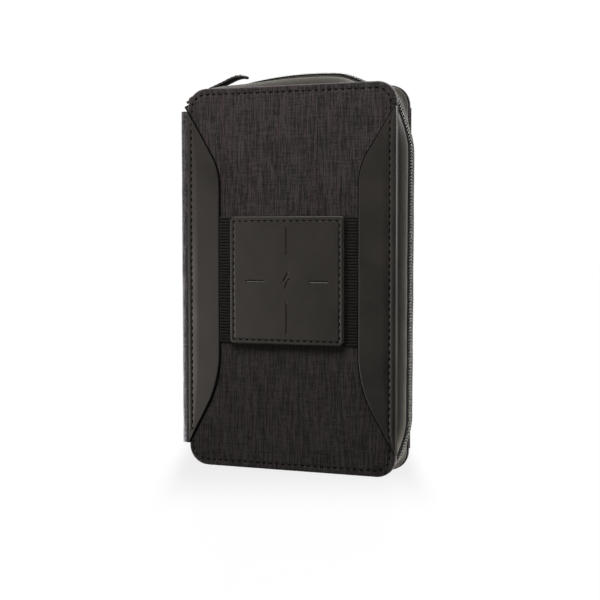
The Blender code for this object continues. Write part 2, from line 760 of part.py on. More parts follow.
def make_coin_slider():
    """Two plates on a thin post between the coils, and the lug of the pull."""
    length, width = COIN_SLIDER_HALF
    near, far = COIN_PLATES
    pieces = {
        "coin_zip_slider": ((-length, -far, -width), (length, -near, width)),
        "coin_plate": ((-length, near, -width), (length, far, width)),
        "coin_post": ((1.4, 0.2 - far, -0.05), (length - GAP, far - 0.2, 0.05)),
        "coin_lug": ((-1.6, -COIN_PIVOT - 0.6, -0.5), (1.6, 0.1 - far, 0.5)),
    }
    centre = Vector((COIN_SLIDER_X, COIN_PLANE, COIN_CHAIN_MIDDLE))
    made = []
    for name, (low, high) in pieces.items():
        collection = CUTTERS if made else PARTS
        made.append(block(name, centre + Vector(low), centre + Vector(high), collection))
    for piece in made[1:]:
        cut(made[0], piece, "UNION")
    return made[0]


def arc_angle(x):
    return math.asin((x - ARC_CENTRE_X) / ARC_RADIUS)


def on_arc(x, out=0.0):
    """A point of the top arc at x, moved out from the arc's centre."""
    angle = arc_angle(x)
    radius = ARC_RADIUS + out
    return Vector((ARC_CENTRE_X + radius * math.sin(angle), 0, ARC_CENTRE_Z + radius * math.cos(angle)))


def make_slider(slider_body, pull_body):
    """The slider's two plates with their post and bridge, the wire link and the leather pull."""
    half = SLIDER_LENGTH / 2
    width = SLIDER_HALF_WIDTH
    top, under = PLATE_OVER, -PLATE_UNDER
    slider = block("zip_slider", (-half, -width, top), (half, width, top + PLATE))
    pieces = {
        "post": ((-half + 0.6, -0.2, under - 0.3), (-1.0, 0.2, top + 0.3)),
        "lower_plate": ((-half, -0.2, under - PLATE), (half, width, under)),
        "upper_lip": ((-half, width - 0.6, 0.75), (half, width, top + 0.3)),
        "lower_lip": ((-half, width - 0.6, under - 0.3), (half, width, -0.75)),
        "bridge_front": ((-2.9, -0.9, top + 0.5), (-1.9, 0.9, 5.2)),
        "bridge_rear": ((1.9, -0.9, top + 0.5), (2.9, 0.9, 5.2)),
        "bridge_top": ((-2.5, -0.9, 4.4), (2.5, 0.9, 5.2)),
    }
    for name, (low, high) in pieces.items():
        cut(slider, block(f"slider_{name}", low, high, CUTTERS), "UNION")
    seat = on_arc(SLIDER_X)
    turn = Matrix.Rotation(arc_angle(SLIDER_X), 4, "Y")
    onto_arc = Matrix.Translation(seat * MM) @ turn
    for obj in [slider, *(m.object for m in slider.modifiers)]:
        obj.matrix_basis = onto_arc @ Matrix.Translation(obj.location)
    place(slider, slider_body, "gunmetal")

    reach, arm = LINK_REACH, LINK_HALF_WIDTH
    ring = [
        (0, -arm + 0.6, PULL_PIVOT),
        (0, arm - 0.6, PULL_PIVOT),
        (0.6, arm, PULL_PIVOT),
        (reach - 0.6, arm, PULL_PIVOT),
        (reach, arm - 0.6, PULL_PIVOT),
        (reach, -arm + 0.6, PULL_PIVOT),
        (reach - 0.6, -arm, PULL_PIVOT),
        (0.6, -arm, PULL_PIVOT),
    ]
    link = wire("pull_link", ring, LINK_WIRE, closed=True)
    link.matrix_basis = onto_arc
    place(link, pull_body, "gunmetal")

    start = onto_arc @ (Vector((LINK_REACH + LINK_WIRE + GAP, 0, PULL_PIVOT)) * MM) / MM
    line = [(start.x, start.z), (-56, 231.3), (-47.5, 233.4), (-41, 235.3), (-36.6, 235.9), (-32.8, 235.3)]
    rows = [
        [(x, -TAB_HALF_WIDTH, z + TAB / 2), (x, TAB_HALF_WIDTH, z + TAB / 2)] for x, z in line[::-1]
    ]
    tab = sheet_along("pull_tab", rows, TAB)
    place(tab, pull_body, "black_leather")


def main():
    rear = new_empty("rear_cover", (0, 0, 0), ORGANIZER)
    spine = new_empty("spine", (FOLD_X, FOLD_Y, 0), rear)
    front = new_empty("front_cover", (FOLD_X, -FOLD_Y, 0), spine)
    patch = new_empty("charging_patch", (PATCH_X, -FACE, PATCH_Z), front)
    button = new_empty("power_button_axis", (BUTTON_X, BANK_FACE + BANK_THICKNESS, BUTTON_Z), front)
    slider = new_empty("zip_run_centre", (ARC_CENTRE_X, 0, ARC_CENTRE_Z), rear)
    pivot = on_arc(SLIDER_X, PULL_PIVOT)
    pull = new_empty("pull_pivot", pivot, slider)
    coin_place = Vector((COIN_SLIDER_X, COIN_PLANE, COIN_CHAIN_MIDDLE))
    coin_slider = new_empty("coin_slider_run", coin_place, rear)
    coin_pull = new_empty("coin_pull_pivot", coin_place - Vector((0, COIN_PIVOT, 0)), coin_slider)
    make_cover(-1, "front", front)
    make_cover(1, "rear", rear)
    make_zip_half(-1, "front", front)
    make_zip_half(1, "rear", rear)
    make_spine(spine, front, rear)
    make_patch(patch, front)
    make_power_bank(front, button)
    make_front_pockets(front)
    make_rear_pockets(rear)
    make_coin_pocket(rear, coin_slider, coin_pull)
    make_slider(slider, pull)


main()
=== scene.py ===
"""The looks of a zip-around travel document organizer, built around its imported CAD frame.

Lengths are in millimetres in the wallet's own frame: x across the covers from their middle, y from the zip's
middle plane (the front cover is towards -y), z up. ORIGIN and MM bring them to the row frame.
"""

import math

import bmesh
import bpy
from mathutils import Matrix, Vector, noise


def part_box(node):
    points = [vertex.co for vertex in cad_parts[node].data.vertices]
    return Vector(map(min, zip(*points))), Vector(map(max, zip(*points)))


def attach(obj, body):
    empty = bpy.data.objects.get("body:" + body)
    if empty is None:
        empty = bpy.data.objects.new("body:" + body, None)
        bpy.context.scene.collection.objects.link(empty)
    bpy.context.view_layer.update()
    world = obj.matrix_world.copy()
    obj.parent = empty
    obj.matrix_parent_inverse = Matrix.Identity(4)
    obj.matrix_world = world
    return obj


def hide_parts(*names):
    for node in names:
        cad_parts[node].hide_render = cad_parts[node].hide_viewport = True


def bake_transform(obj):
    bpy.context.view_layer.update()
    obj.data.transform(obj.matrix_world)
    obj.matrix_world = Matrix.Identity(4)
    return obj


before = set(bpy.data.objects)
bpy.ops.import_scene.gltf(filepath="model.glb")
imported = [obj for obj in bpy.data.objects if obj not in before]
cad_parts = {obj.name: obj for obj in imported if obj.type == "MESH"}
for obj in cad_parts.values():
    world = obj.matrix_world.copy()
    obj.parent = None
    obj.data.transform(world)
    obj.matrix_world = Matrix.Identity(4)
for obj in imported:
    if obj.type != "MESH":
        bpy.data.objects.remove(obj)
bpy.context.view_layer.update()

MM = 0.001


def centre_of(node):
    low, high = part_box(node)
    return (low + high) / 2


ORIGIN = Vector(
    (
        centre_of("front_board").x,
        (centre_of("front_board").y + centre_of("rear_board").y) / 2,
        0,
    )
)

# The covers
HALF = 66.0
TOP = 228.0
CORNER = 12.0
LEATHER_FACE = 15.0
SKIN_FACE = 13.9
RIM_END = 11.3
INSIDE_MARGIN = 0.9
PANEL_EDGES = {-1: -45.1, 1: 43.5}
PANEL_CORNERS = (179.0, 52.0)
PANEL_ENDS = (214.5, 13.5)
PANEL_ROUNDINGS = (35.0, 70.0)
SEAM_INSET = {"left": 2.7, "right": 3.8, "end": 3.8}
STITCH_PITCH = 4.1
STITCH_LENGTH, STITCH_RADIUS = 2.4, 0.42

# The spine
SPINE_ENDS = (12.8, 214.9)

# The patch
PATCH_LOW, PATCH_HIGH = Vector((-37.15, 75.3)), Vector((35.35, 151.3))
PATCH_FACE, BACKING_FACE = 17.1, 15.25
PATCH_RADIUS = 3.0
PATCH_SEAM = 2.7
GROOVE_HALF, GROOVE_DEPTH = 0.45, 0.42
BAND_FACE, BAND_MARGIN = 14.2, 0.2
RIB_PITCH, RIB_DEPTH = 1.77, 0.62
CROSS = (
    ((-0.7, 144.9), (-0.7, 128.5)),
    ((-0.7, 99.7), (-0.7, 81.6)),
    ((-25.9, 112.9), (-14.3, 112.9)),
    ((14.2, 112.9), (25.6, 112.9)),
)
BOLT = ((1.0, 119.6), (-3.5, 112.2), (-0.7, 113.4), (-1.9, 107.4), (2.6, 114.9), (-0.1, 113.9))

# The zip
ARC_RADIUS = 225.0
ARC_CENTRE_X, ARC_CENTRE_Z = 12.0, 9.9
TOP_END_ANGLE, BOTTOM_END_ANGLE = 173.0, 178.0
SIDE_BULGE, SIDE_SLANT = 4.3, 0.9
CORNER_DIP, LOWER_DIP = 3.9, 3.0
DIP_REACH, LOWER_REACH, BOTTOM_REACH = 38.0, 30.0, 20.0
BOTTOM_INSET, BOTTOM_END = 1.6, 1.5
ROLL_UNDER, ROLL_UNDER_TOP = 0.8, 2.6
ROLL_RAISE = (6.2, -64.0, 30.0)
TOOTH_PITCH = 1.78
TOOTH_WIRE = 0.26
SLIDER_X = -67.5
PULL_PIVOT = 3.65

# The view
VIEW_TURN, VIEW_RISE, VIEW_TILT = (math.radians(a) for a in (21.53, 3.2, -0.05))
# PAINTED_FLOOR_SHADE is the painted shade taken off the floor's glow under the object: a painted reflection
# and contact shadow.
FLOOR_GLOW, PAINTED_FLOOR_SHADE = 0.985, 0.16
CAMERA_PLACE, CAMERA_LENS = (280.6, -707.7, 143.7), 76.15
WORLD_LIGHT = 0.07
WARM, LESS_WARM = (1, 0.92, 0.83), (1, 0.95, 0.91)
# name: place, target, size in metres, power, colour, and what doesn't see it
LIGHTS = {
    "front_top": ((-0.04, -0.28, 0.56), (0, 0, 0.18), (0.5, 0.25), 3.1, LESS_WARM, ""),
    "key_low": ((-0.65, -0.59, -0.03), (-0.05, 0, 0.05), (0.3, 0.2), 3.4, WARM, "diffuse"),
    "overhead": ((0.05, 0.25, 0.95), (0, 0, 0.2), (0.6, 0.6), 20.0, (1, 1, 1), ""),
    "left_low": ((-0.22, 0.0, -0.02), (-0.07, 0.0, 0.04), (0.03, 0.05), 3.0, (1, 1, 1), "glossy"),
    "right_low": ((0.26, 0.07, -0.11), (0.07, 0.01, 0.04), (0.1, 0.1), 2.7, (1, 1, 1), "glossy"),
    "right_high": ((0.45, 0.10, 0.24), (0.07, 0, 0.17), (0.2, 0.2), 2.2, (1, 1, 1), ""),
    "right_rim": ((0.55, -0.16, 0.12), (0.07, 0, 0.12), (0.12, 0.4), 0.4, (1, 1, 1), "diffuse"),
}


# Materials


class Graph:
    """A short way to write a material's nodes: each call makes a node and returns its first output."""

    def __init__(self, material):
        self.tree = material.node_tree
        self.shader = self.tree.nodes["Principled BSDF"]

    def node(self, kind, inputs=None, output=0, **settings):
        made = self.tree.nodes.new(kind)
        for key, value in settings.items():
            setattr(made, key, value)
        for key, value in (inputs or {}).items():
            if isinstance(value, bpy.types.NodeSocket):
                self.tree.links.new(value, made.inputs[key])
            else:
                made.inputs[key].default_value = value
        return made.outputs[output]

    def coordinates(self, scale):
        """Object coordinates in units of 1/scale metres along each axis."""
        place = self.node("ShaderNodeTexCoord", output="Object")
        return self.node("ShaderNodeMapping", {"Vector": place, "Scale": scale})

    def noise(self, scale, detail=3.0, roughness=0.55):
        inputs = {"Vector": self.coordinates(scale), "Scale": 1.0, "Detail": detail, "Roughness": roughness}
        return self.node("ShaderNodeTexNoise", inputs)

    def cells(self, scale):
        inputs = {"Vector": self.coordinates(scale), "Scale": 1.0}
        return self.node("ShaderNodeTexVoronoi", inputs, feature="SMOOTH_F1")

    def bands(self, scale, direction, distortion=0.0):
        inputs = {"Vector": self.coordinates(scale), "Scale": 1.0, "Distortion": distortion}
        return self.node("ShaderNodeTexWave", inputs, output="Fac", bands_direction=direction)

    def math(self, operation, a, b):
        return self.node("ShaderNodeMath", {0: a, 1: b}, operation=operation)

    def ramp(self, factor, stops):
        made = self.tree.nodes.new("ShaderNodeValToRGB")
        elements = made.color_ramp.elements
        while len(elements) < len(stops):
            elements.new(0.5)
        for element, (position, colour) in zip(elements, stops):
            element.position = position
            element.color = (*colour, 1.0)
        self.tree.links.new(factor, made.inputs["Fac"])
        return made.outputs["Color"]

    def multiplied(self, a, b):
        """The product of two colours."""
        inputs = {0: 1.0, 6: a, 7: b}
        return self.node("ShaderNodeMix", inputs, 2, data_type="RGBA", blend_type="MULTIPLY")

    def finish(self, colour, roughness, heights=(), metallic=0.0, sheen=0.0, specular=0.5, coat=0.0):
        """heights: (socket, strength, depth in mm) from the coarsest to the finest."""
        values = {"Base Color": colour, "Roughness": roughness, "Metallic": metallic}
        for key, value in values.items():
            socket = self.shader.inputs[key]
            if isinstance(value, bpy.types.NodeSocket):
                self.tree.links.new(value, socket)
            else:
                socket.default_value = (*value, 1.0) if isinstance(value, tuple) else value
        self.shader.inputs["Sheen Weight"].default_value = sheen
        self.shader.inputs["Sheen Roughness"].default_value = 0.5
        self.shader.inputs["Specular IOR Level"].default_value = specular
        self.shader.inputs["Coat Weight"].default_value = coat
        normal = None
        for height, strength, depth in heights:
            inputs = {"Height": height, "Strength": strength, "Distance": depth * MM}
            if normal is not None:
                inputs["Normal"] = normal
            normal = self.node("ShaderNodeBump", inputs)
        if normal is not None:
            self.tree.links.new(normal, self.shader.inputs["Normal"])


def melange(graph, dark, light, tint, specular=0.25):
    """Two-tone yarns: fine upright warp streaks over a weft, in a plain weave."""
    warp = graph.noise((1500, 1500, 70), 4.0, 0.75)
    weft = graph.noise((110, 110, 1500), 3.0, 0.7)
    fleck = graph.noise((900, 900, 500), 2.0, 0.6)
    both = graph.math("ADD", graph.math("MULTIPLY", warp, 0.62), graph.math("MULTIPLY", weft, 0.22))
    yarn = graph.math("ADD", both, graph.math("MULTIPLY", fleck, 0.16))
    colour = graph.ramp(yarn, ((0.44, dark), (0.56, light)))
    hue = graph.ramp(graph.noise((420, 420, 24), 2.0), ((0.42, (1, 1, 1)), (0.6, tint)))
    colour = graph.multiplied(colour, hue)
    weave = graph.math(
        "MULTIPLY",
        graph.bands((1400, 1400, 0), "DIAGONAL"),
        graph.bands((0, 0, 1900), "Z"),
    )
    graph.finish(colour, 0.82, ((yarn, 0.55, 0.16), (weave, 0.4, 0.1)), sheen=0.12, specular=specular)


def leather(graph, dark, light, roughness, specular=0.42):
    """Matt coated leather with a fine pebble grain and soft mottling."""
    mottle = graph.noise((55, 55, 42), 5.0, 0.6)
    colour = graph.ramp(mottle, ((0.34, dark), (0.66, light)))
    pebble = graph.cells((1250, 1250, 1250))
    fine = graph.noise((2600, 2600, 2600), 2.0)
    rough = graph.ramp(mottle, ((0.3, (roughness - 0.05,) * 3), (0.7, (roughness + 0.06,) * 3)))
    heights = ((mottle, 0.25, 0.3), (pebble, 0.22, 0.06), (fine, 0.2, 0.04))
    graph.finish(colour, rough, heights, specular=specular)


def cloth(graph, dark, light, pitch, roughness=0.85, depth=0.12, sheen=0.1, specular=0.3):
    """A plain cloth with threads both ways at a pitch in mm."""
    cycles = 2 * math.pi / (pitch * MM) / 20
    across = graph.bands((cycles, cycles, 0), "DIAGONAL", 0.4)
    along = graph.bands((0, 0, cycles * 1.1), "Z", 0.4)
    weave = graph.math("MAXIMUM", across, along)
    slub = graph.noise((240, 240, 240), 4.0, 0.65)
    tone = graph.math("ADD", graph.math("MULTIPLY", weave, 0.25), graph.math("MULTIPLY", slub, 0.75))
    colour = graph.ramp(tone, ((0.2, dark), (0.8, light)))
    graph.finish(colour, roughness, ((slub, 0.3, 0.1), (weave, 0.5, depth)), sheen=sheen, specular=specular)


def plain(graph, dark, light, roughness, scale=300, bump=0.05, metallic=0.0, specular=0.5, coat=0.0):
    """Moulded, cast or pressed stock: slight tone and roughness variation and a fine surface."""
    tone = graph.noise((scale, scale, scale), 4.0, 0.6)
    colour = graph.ramp(tone, ((0.35, dark), (0.65, light)))
    rough = graph.ramp(tone, ((0.3, (roughness - 0.05,) * 3), (0.7, (roughness + 0.05,) * 3)))
    fine = graph.noise((scale * 9, scale * 9, scale * 9), 2.0)
    graph.finish(colour, rough, ((fine, 0.3, bump),), metallic=metallic, specular=specular, coat=coat)


def circuit(graph):
    """Solder mask with raised traces."""
    trace = graph.node(
        "ShaderNodeTexBrick",
        {"Vector": graph.coordinates((380, 0, 420)), "Scale": 1.0, "Mortar Size": 0.06},
        output="Fac",
    )
    colour = graph.ramp(trace, ((0.4, (0.012, 0.075, 0.035)), (0.6, (0.03, 0.16, 0.08))))
    graph.finish(colour, 0.4, ((trace, 0.5, 0.05),))


LOOKS = {
    "melange_fabric": lambda g: melange(
        g, (0.0036, 0.0030, 0.0035), (0.052, 0.0440, 0.0480), (1.06, 0.89, 0.92)
    ),
    "spine_fabric": lambda g: melange(g, (0.012, 0.011, 0.013), (0.085, 0.079, 0.087), (1.0, 0.93, 0.98)),
    "black_leather": lambda g: leather(g, (0.0115, 0.0098, 0.0084), (0.0175, 0.0148, 0.0124), 0.46),
    "patch_leather": lambda g: leather(g, (0.0125, 0.0106, 0.0094), (0.0182, 0.0154, 0.0132), 0.46),
    "elastic_webbing": lambda g: cloth(
        g, (0.004, 0.0037, 0.003), (0.011, 0.0102, 0.0085), 0.55, specular=0.22
    ),
    "gusset_fabric": lambda g: cloth(g, (0.017, 0.0155, 0.0125), (0.036, 0.033, 0.027), 0.7, sheen=0.12),
    "zip_tape": lambda g: cloth(
        g, (0.003, 0.003, 0.003), (0.006, 0.006, 0.006), 0.9, sheen=0.0, specular=0.03
    ),
    "zip_coil": lambda g: plain(g, (0.085, 0.082, 0.077), (0.14, 0.135, 0.127), 0.26, 700, 0.02),
    "gunmetal": lambda g: plain(g, (0.10, 0.095, 0.085), (0.16, 0.15, 0.135), 0.36, 500, 0.02, metallic=0.9),
    "lining_cloth": lambda g: cloth(g, (0.045, 0.043, 0.043), (0.085, 0.081, 0.080), 0.6, sheen=0.15),
    "greyboard": lambda g: plain(g, (0.20, 0.19, 0.17), (0.30, 0.285, 0.26), 0.9, 260, 0.08),
    "foam": lambda g: plain(g, (0.02, 0.02, 0.02), (0.045, 0.045, 0.045), 0.95, 900, 0.15),
    "bank_plastic": lambda g: plain(g, (0.014, 0.014, 0.015), (0.024, 0.024, 0.025), 0.46, 420, 0.05),
    "cell_wrap": lambda g: plain(g, (0.36, 0.37, 0.38), (0.50, 0.51, 0.52), 0.35, 120, 0.03, metallic=0.3),
    "copper": lambda g: plain(g, (0.50, 0.21, 0.09), (0.68, 0.32, 0.15), 0.3, 600, 0.02, metallic=1.0),
    "ferrite": lambda g: plain(g, (0.035, 0.035, 0.037), (0.06, 0.06, 0.062), 0.6, 300, 0.05),
    "circuit_green": circuit,
    "steel": lambda g: plain(g, (0.48, 0.48, 0.47), (0.62, 0.62, 0.61), 0.28, 500, 0.01, metallic=1.0),
    "lens_plastic": lambda g: plain(g, (0.62, 0.63, 0.64), (0.74, 0.75, 0.76), 0.25, 300, 0.02, coat=0.3),
    "thread": lambda g: plain(
        g, (0.0012, 0.0011, 0.0011), (0.003, 0.0028, 0.0027), 0.85, 1500, 0.05, specular=0.08
    ),
    "lining_thread": lambda g: plain(
        g, (0.02, 0.02, 0.02), (0.04, 0.039, 0.038), 0.8, 1500, 0.05, specular=0.2
    ),
}


def make_material(name):
    material = bpy.data.materials.new(name)
    material.use_nodes = True
    LOOKS[name](Graph(material))
    return material


MATERIALS = {name: make_material(name) for name in LOOKS}


# Meshes


def to_object(name, mesh, material, angle=45):
    mesh.materials.clear()
    mesh.materials.append(MATERIALS[material])
    mesh.shade_smooth()
    mesh.set_sharp_from_angle(angle=math.radians(angle))
    obj = bpy.data.objects.new(name, mesh)
    bpy.context.scene.collection.objects.link(obj)
    return obj


def build(name, verts, faces, material, angle=45):
    mesh = bpy.data.meshes.new(name)
    mesh.from_pydata([ORIGIN + Vector(v) * MM for v in verts], [], faces)
    mesh.update()
    return to_object(name, mesh, material, angle)


def settled(obj):
    """Applies the modifiers."""
    graph = bpy.context.evaluated_depsgraph_get()
    graph.update()
    mesh = bpy.data.meshes.new_from_object(obj.evaluated_get(graph))
    obj.modifiers.clear()
    obj.data = mesh
    return obj


def thickened(obj, wall):
    """Gives an open surface a back, on the side that its faces turn away from."""
    solid = obj.modifiers.new("wall", "SOLIDIFY")
    solid.thickness = wall * MM
    solid.offset = -1
    solid.use_even_offset = False
    return settled(obj)


def grid_faces(rows, columns, flip=False, ring=False):
    faces = []
    for i in range(rows - 1):
        for j in range(columns if ring else columns - 1):
            k = (j + 1) % columns
            face = (i * columns + j, i * columns + k, (i + 1) * columns + k, (i + 1) * columns + j)
            faces.append(face[::-1] if flip else face)
    return faces


def lofted(name, rows, material, wall=0.0, flip=False, angle=45):
    verts = [p for row in rows for p in row]
    obj = build(name, verts, grid_faces(len(rows), len(rows[0]), flip), material, angle)
    return thickened(obj, wall) if wall else obj


def smooth_curve(points, steps):
    """A Catmull-Rom curve through points of any dimension, with steps samples between neighbours."""
    points = [Vector(p) for p in points]
    ends = [2 * points[0] - points[1], *points, 2 * points[-1] - points[-2]]
    found = []
    for a, b, c, d in zip(ends, ends[1:], ends[2:], ends[3:]):
        for i in range(steps):
            t = i / steps
            square = (2 * a - 5 * b + 4 * c - d) * t * t
            found.append(0.5 * (2 * b + (c - a) * t + square + (3 * b - a - 3 * c + d) * t**3))
    return found + [points[-1]]


def tube_mesh(points, radius, sides, closed=False):
    """Verts and faces of a round tube along points, with its ends capped."""
    points = [Vector(p) for p in points]
    count = len(points)
    up = None
    verts = []
    for i, p in enumerate(points):
        before = points[i - 1] if i or closed else p
        after = points[(i + 1) % count] if i + 1 < count or closed else p
        along = (after - before).normalized()
        if up is None:
            up = along.orthogonal()
        up = (up - along * up.dot(along)).normalized()
        side = along.cross(up)
        r = radius[i] if isinstance(radius, list) else radius
        for k in range(sides):
            angle = 2 * math.pi * k / sides
            verts.append(p + (up * math.cos(angle) + side * math.sin(angle)) * r)
    faces = grid_faces(count, sides, ring=True)
    if closed:
        last = (count - 1) * sides
        faces += [(last + k, last + (k + 1) % sides, (k + 1) % sides, k) for k in range(sides)]
    else:
        faces += [tuple(range(sides))[::-1], tuple(range((count - 1) * sides, count * sides))]
    return verts, faces


def tube(name, points, radius, sides, material, closed=False):
    verts, faces = tube_mesh(points, radius, sides, closed)
    return build(name, verts, faces, material, 80)


def joined(parts):
    """One list of verts and faces from several."""
    verts, faces = [], []
    for some, more in parts:
        start = len(verts)
        verts += some
        faces += [tuple(i + start for i in face) for face in more]
    return verts, faces


def along_line(points, pitch, start=0.0):
    """(position, tangent) every pitch along a polyline, from start on."""
    points = [Vector(p) for p in points]
    found = []
    want, gone = start, 0.0
    for a, b in zip(points, points[1:]):
        length = (b - a).length
        while length > 0 and want <= gone + length:
            found.append((a.lerp(b, (want - gone) / length), (b - a).normalized()))
            want += pitch
        gone += length
    return found


def stitches(
    name, points, outward, material="thread", pitch=STITCH_PITCH, length=STITCH_LENGTH, radius=STITCH_RADIUS
):
    """A row of stitches: each is a short thread that bows out and dives in at its ends."""
    parts = []
    for place, along in along_line(points, pitch, pitch / 2):
        out = Vector(outward)
        slant = along.cross(out) * 0.12
        line = []
        for t in (-1, -0.72, 0, 0.72, 1):
            line.append(place + along * t * length / 2 + slant * t - out * radius * 1.5 * t * t)
        parts.append(tube_mesh(line, [radius * 0.6, radius, radius * 1.06, radius, radius * 0.6], 6))
    verts, faces = joined(parts)
    return build(name, verts, faces, material)


# Panels: a rounded rectangle in the plane of the covers, as rings from its rim inwards and a grid inside them


def ring_points(low, high, radius, reach, corner_steps, steps):
    """(x, z, normal) round a rounded rectangle, anticlockwise from the middle of its lower right corner."""
    centres = (
        Vector((high.x - radius, low.y + radius)),
        Vector((high.x - radius, high.y - radius)),
        Vector((low.x + radius, high.y - radius)),
        Vector((low.x + radius, low.y + radius)),
    )
    found = []
    for side in range(4):
        a, b = centres[side], centres[(side + 1) % 4]
        start = -math.pi / 4 + side * math.pi / 2
        half_arc = radius * math.pi / 4
        straight = (b - a).length
        total = 2 * half_arc + straight
        near = half_arc + (reach - radius)
        marks = [near * i / corner_steps for i in range(corner_steps)]
        marks += [near + (total - 2 * near) * i / steps[side % 2] for i in range(steps[side % 2])]
        marks += [total - near + near * i / corner_steps for i in range(corner_steps)]
        for s in marks:
            if s < half_arc:
                angle, centre = start + s / radius, a
            elif s > half_arc + straight:
                angle, centre = start + math.pi / 4 + (s - half_arc - straight) / radius, b
            else:
                angle = start + math.pi / 4
                centre = a.lerp(b, (s - half_arc) / straight)
            normal = Vector((math.cos(angle), math.sin(angle)))
            point = centre + normal * radius
            found.append((point.x, point.y, normal))
    return found


def panel(
    name, low, high, radius, face, side, profile, material, steps, relief=None, wall=0.5, corner_steps=5
):
    """profile: (inset, depth) from the rim inwards; its last inset has no rounding left. relief(x, z, inset,
    depth, normal) adds depth. side -1 looks towards -y. steps: segments along z and x."""
    low, high = Vector(low), Vector(high)
    verts, faces, starts = [], [], []
    count = 2 * sum(steps) + 8 * corner_steps
    reach = max(radius, profile[-1][0]) + 0.01
    for inset, depth in profile:
        shrink = Vector((inset, inset))
        points = ring_points(
            low + shrink, high - shrink, max(radius - inset, 0.001), reach - inset, corner_steps, steps
        )
        starts.append(len(verts))
        for x, z, normal in points:
            extra = relief(x, z, inset, depth, normal) if relief else 0.0
            verts.append((x, side * (face - depth - extra), z))
    for a, b in zip(starts, starts[1:]):
        for i in range(count):
            j = (i + 1) % count
            faces.append((a + i, a + j, b + j, b + i))
    last = starts[-1]
    rows, columns = steps[0] + 2 * corner_steps, steps[1] + 2 * corner_steps
    grid = {}
    for j in range(rows + 1):
        grid[columns, j] = last + j
        grid[0, j] = last + rows + columns + (rows - j)
    for i in range(columns + 1):
        grid[i, rows] = last + rows + (columns - i)
        grid[i, 0] = last + (2 * rows + columns + i) % count
    inset, depth = profile[-1]
    for i in range(1, columns):
        x = verts[grid[i, 0]][0]
        for j in range(1, rows):
            z = verts[grid[columns, j]][2]
            extra = relief(x, z, inset, depth, Vector((0, 0))) if relief else 0.0
            grid[i, j] = len(verts)
            verts.append((x, side * (face - depth - extra), z))
    for i in range(columns):
        for j in range(rows):
            faces.append((grid[i, j], grid[i + 1, j], grid[i + 1, j + 1], grid[i, j + 1]))
    if side > 0:
        faces = [f[::-1] for f in faces]
    obj = build(name, verts, faces, material)
    return thickened(obj, wall) if wall else obj


def rounded_edge(radius, steps=5):
    """(inset, depth) round an edge from its side to its face."""
    found = []
    for i in range(steps + 1):
        angle = math.pi / 2 * i / steps
        found.append((radius * (1 - math.cos(angle)), radius * (1 - math.sin(angle))))
    return found


def seam(inset, depth=0.2, width=0.75):
    """A seam's shallow channel across the face."""
    shape = ((-1, 0.0), (-0.5, 0.6), (0, 1.0), (0.5, 0.6), (1, 0.0))
    return [(inset + width * across, depth * share) for across, share in shape]


def hills(x, z, size, height, shift=0.0):
    return height * noise.noise(Vector((x / size + shift, z / size, shift)))


# The covers


def rounded_corner(before, corner, after, radius, steps):
    corner = Vector(corner)
    first = (Vector(before) - corner).normalized()
    second = (Vector(after) - corner).normalized()
    half = first.angle(second) / 2
    centre = corner + (first + second).normalized() * radius / math.sin(half)
    start = corner + first * radius / math.tan(half) - centre
    end = corner + second * radius / math.tan(half) - centre
    return [centre + start.lerp(end, i / steps).normalized() * radius for i in range(steps + 1)]


def panel_edge(direction):
    """The inner edge of a leather side panel, from its top tip to its bottom tip."""
    edge = PANEL_EDGES[direction]
    tips = [(direction * HALF, z) for z in PANEL_ENDS]
    corners = [(edge, z) for z in PANEL_CORNERS]
    line = [Vector(tips[0])]
    line += rounded_corner(tips[0], corners[0], corners[1], PANEL_ROUNDINGS[0], 14)
    line += rounded_corner(corners[0], corners[1], tips[1], PANEL_ROUNDINGS[1], 14)
    line.append(Vector(tips[1]))
    return line


EDGES = {direction: panel_edge(direction) for direction in (-1, 1)}


def edge_x(direction, z):
    """The inner edge of a leather panel at a height, or the cover's side past its tips."""
    line = EDGES[direction]
    for a, b in zip(line, line[1:]):
        if b.y <= z <= a.y:
            return a.x + (b.x - a.x) * (a.y - z) / max(a.y - b.y, 1e-9)
    return direction * HALF


def on_leather(x, z):
    return abs(x) > abs(edge_x(1 if x > 0 else -1, z))


def leather_panel(name, side, direction, seam_inset):
    """The leather from its cut inner edge, over the face, round the cover's side."""
    across_in = (0.0, 0.0, 0.06, 0.2, 0.5, 1.1, 2.2)
    depth_in = (0.85, 0.3, 0.12, 0.03, 0.0, 0.0, 0.0)
    channel = seam(seam_inset)[::-1]
    across_out = [inset for inset, _ in channel] + [inset - 0.35 for inset, _ in rounded_edge(1.3)[::-1]]
    depth_out = [depth for _, depth in channel] + [depth for _, depth in rounded_edge(1.3)[::-1]]
    across_out += [-0.35, -0.35, 0.1]
    depth_out += [2.2, 3.2, 3.4]
    rows = []
    for place, _ in along_line(EDGES[direction], 2.0) + [(EDGES[direction][-1], None)]:
        width = HALF - abs(place.x)
        squeeze = min(1.0, width / (across_in[-1] + channel[0][0] + 0.2))
        row = []
        for across, depth in zip(across_in, depth_in):
            row.append((abs(place.x) + across * squeeze, depth))
        start, end = row[-1][0], HALF - channel[0][0] * squeeze
        for t in (0.25, 0.5, 0.75):
            row.append((start + (end - start) * t, 0.0))
        for across, depth in zip(across_out, depth_out):
            inside = across * squeeze if across > 0 else across
            row.append((HALF - inside, depth * (squeeze if across > 1.3 else 1.0)))
        verts = []
        for x, depth in row:
            face = LEATHER_FACE - depth + hills(x, place.y, 16, 0.05)
            verts.append((direction * x, side * face, place.y))
        rows.append(verts)
    return lofted(name, rows, "black_leather", 0.35, flip=side * direction < 0)


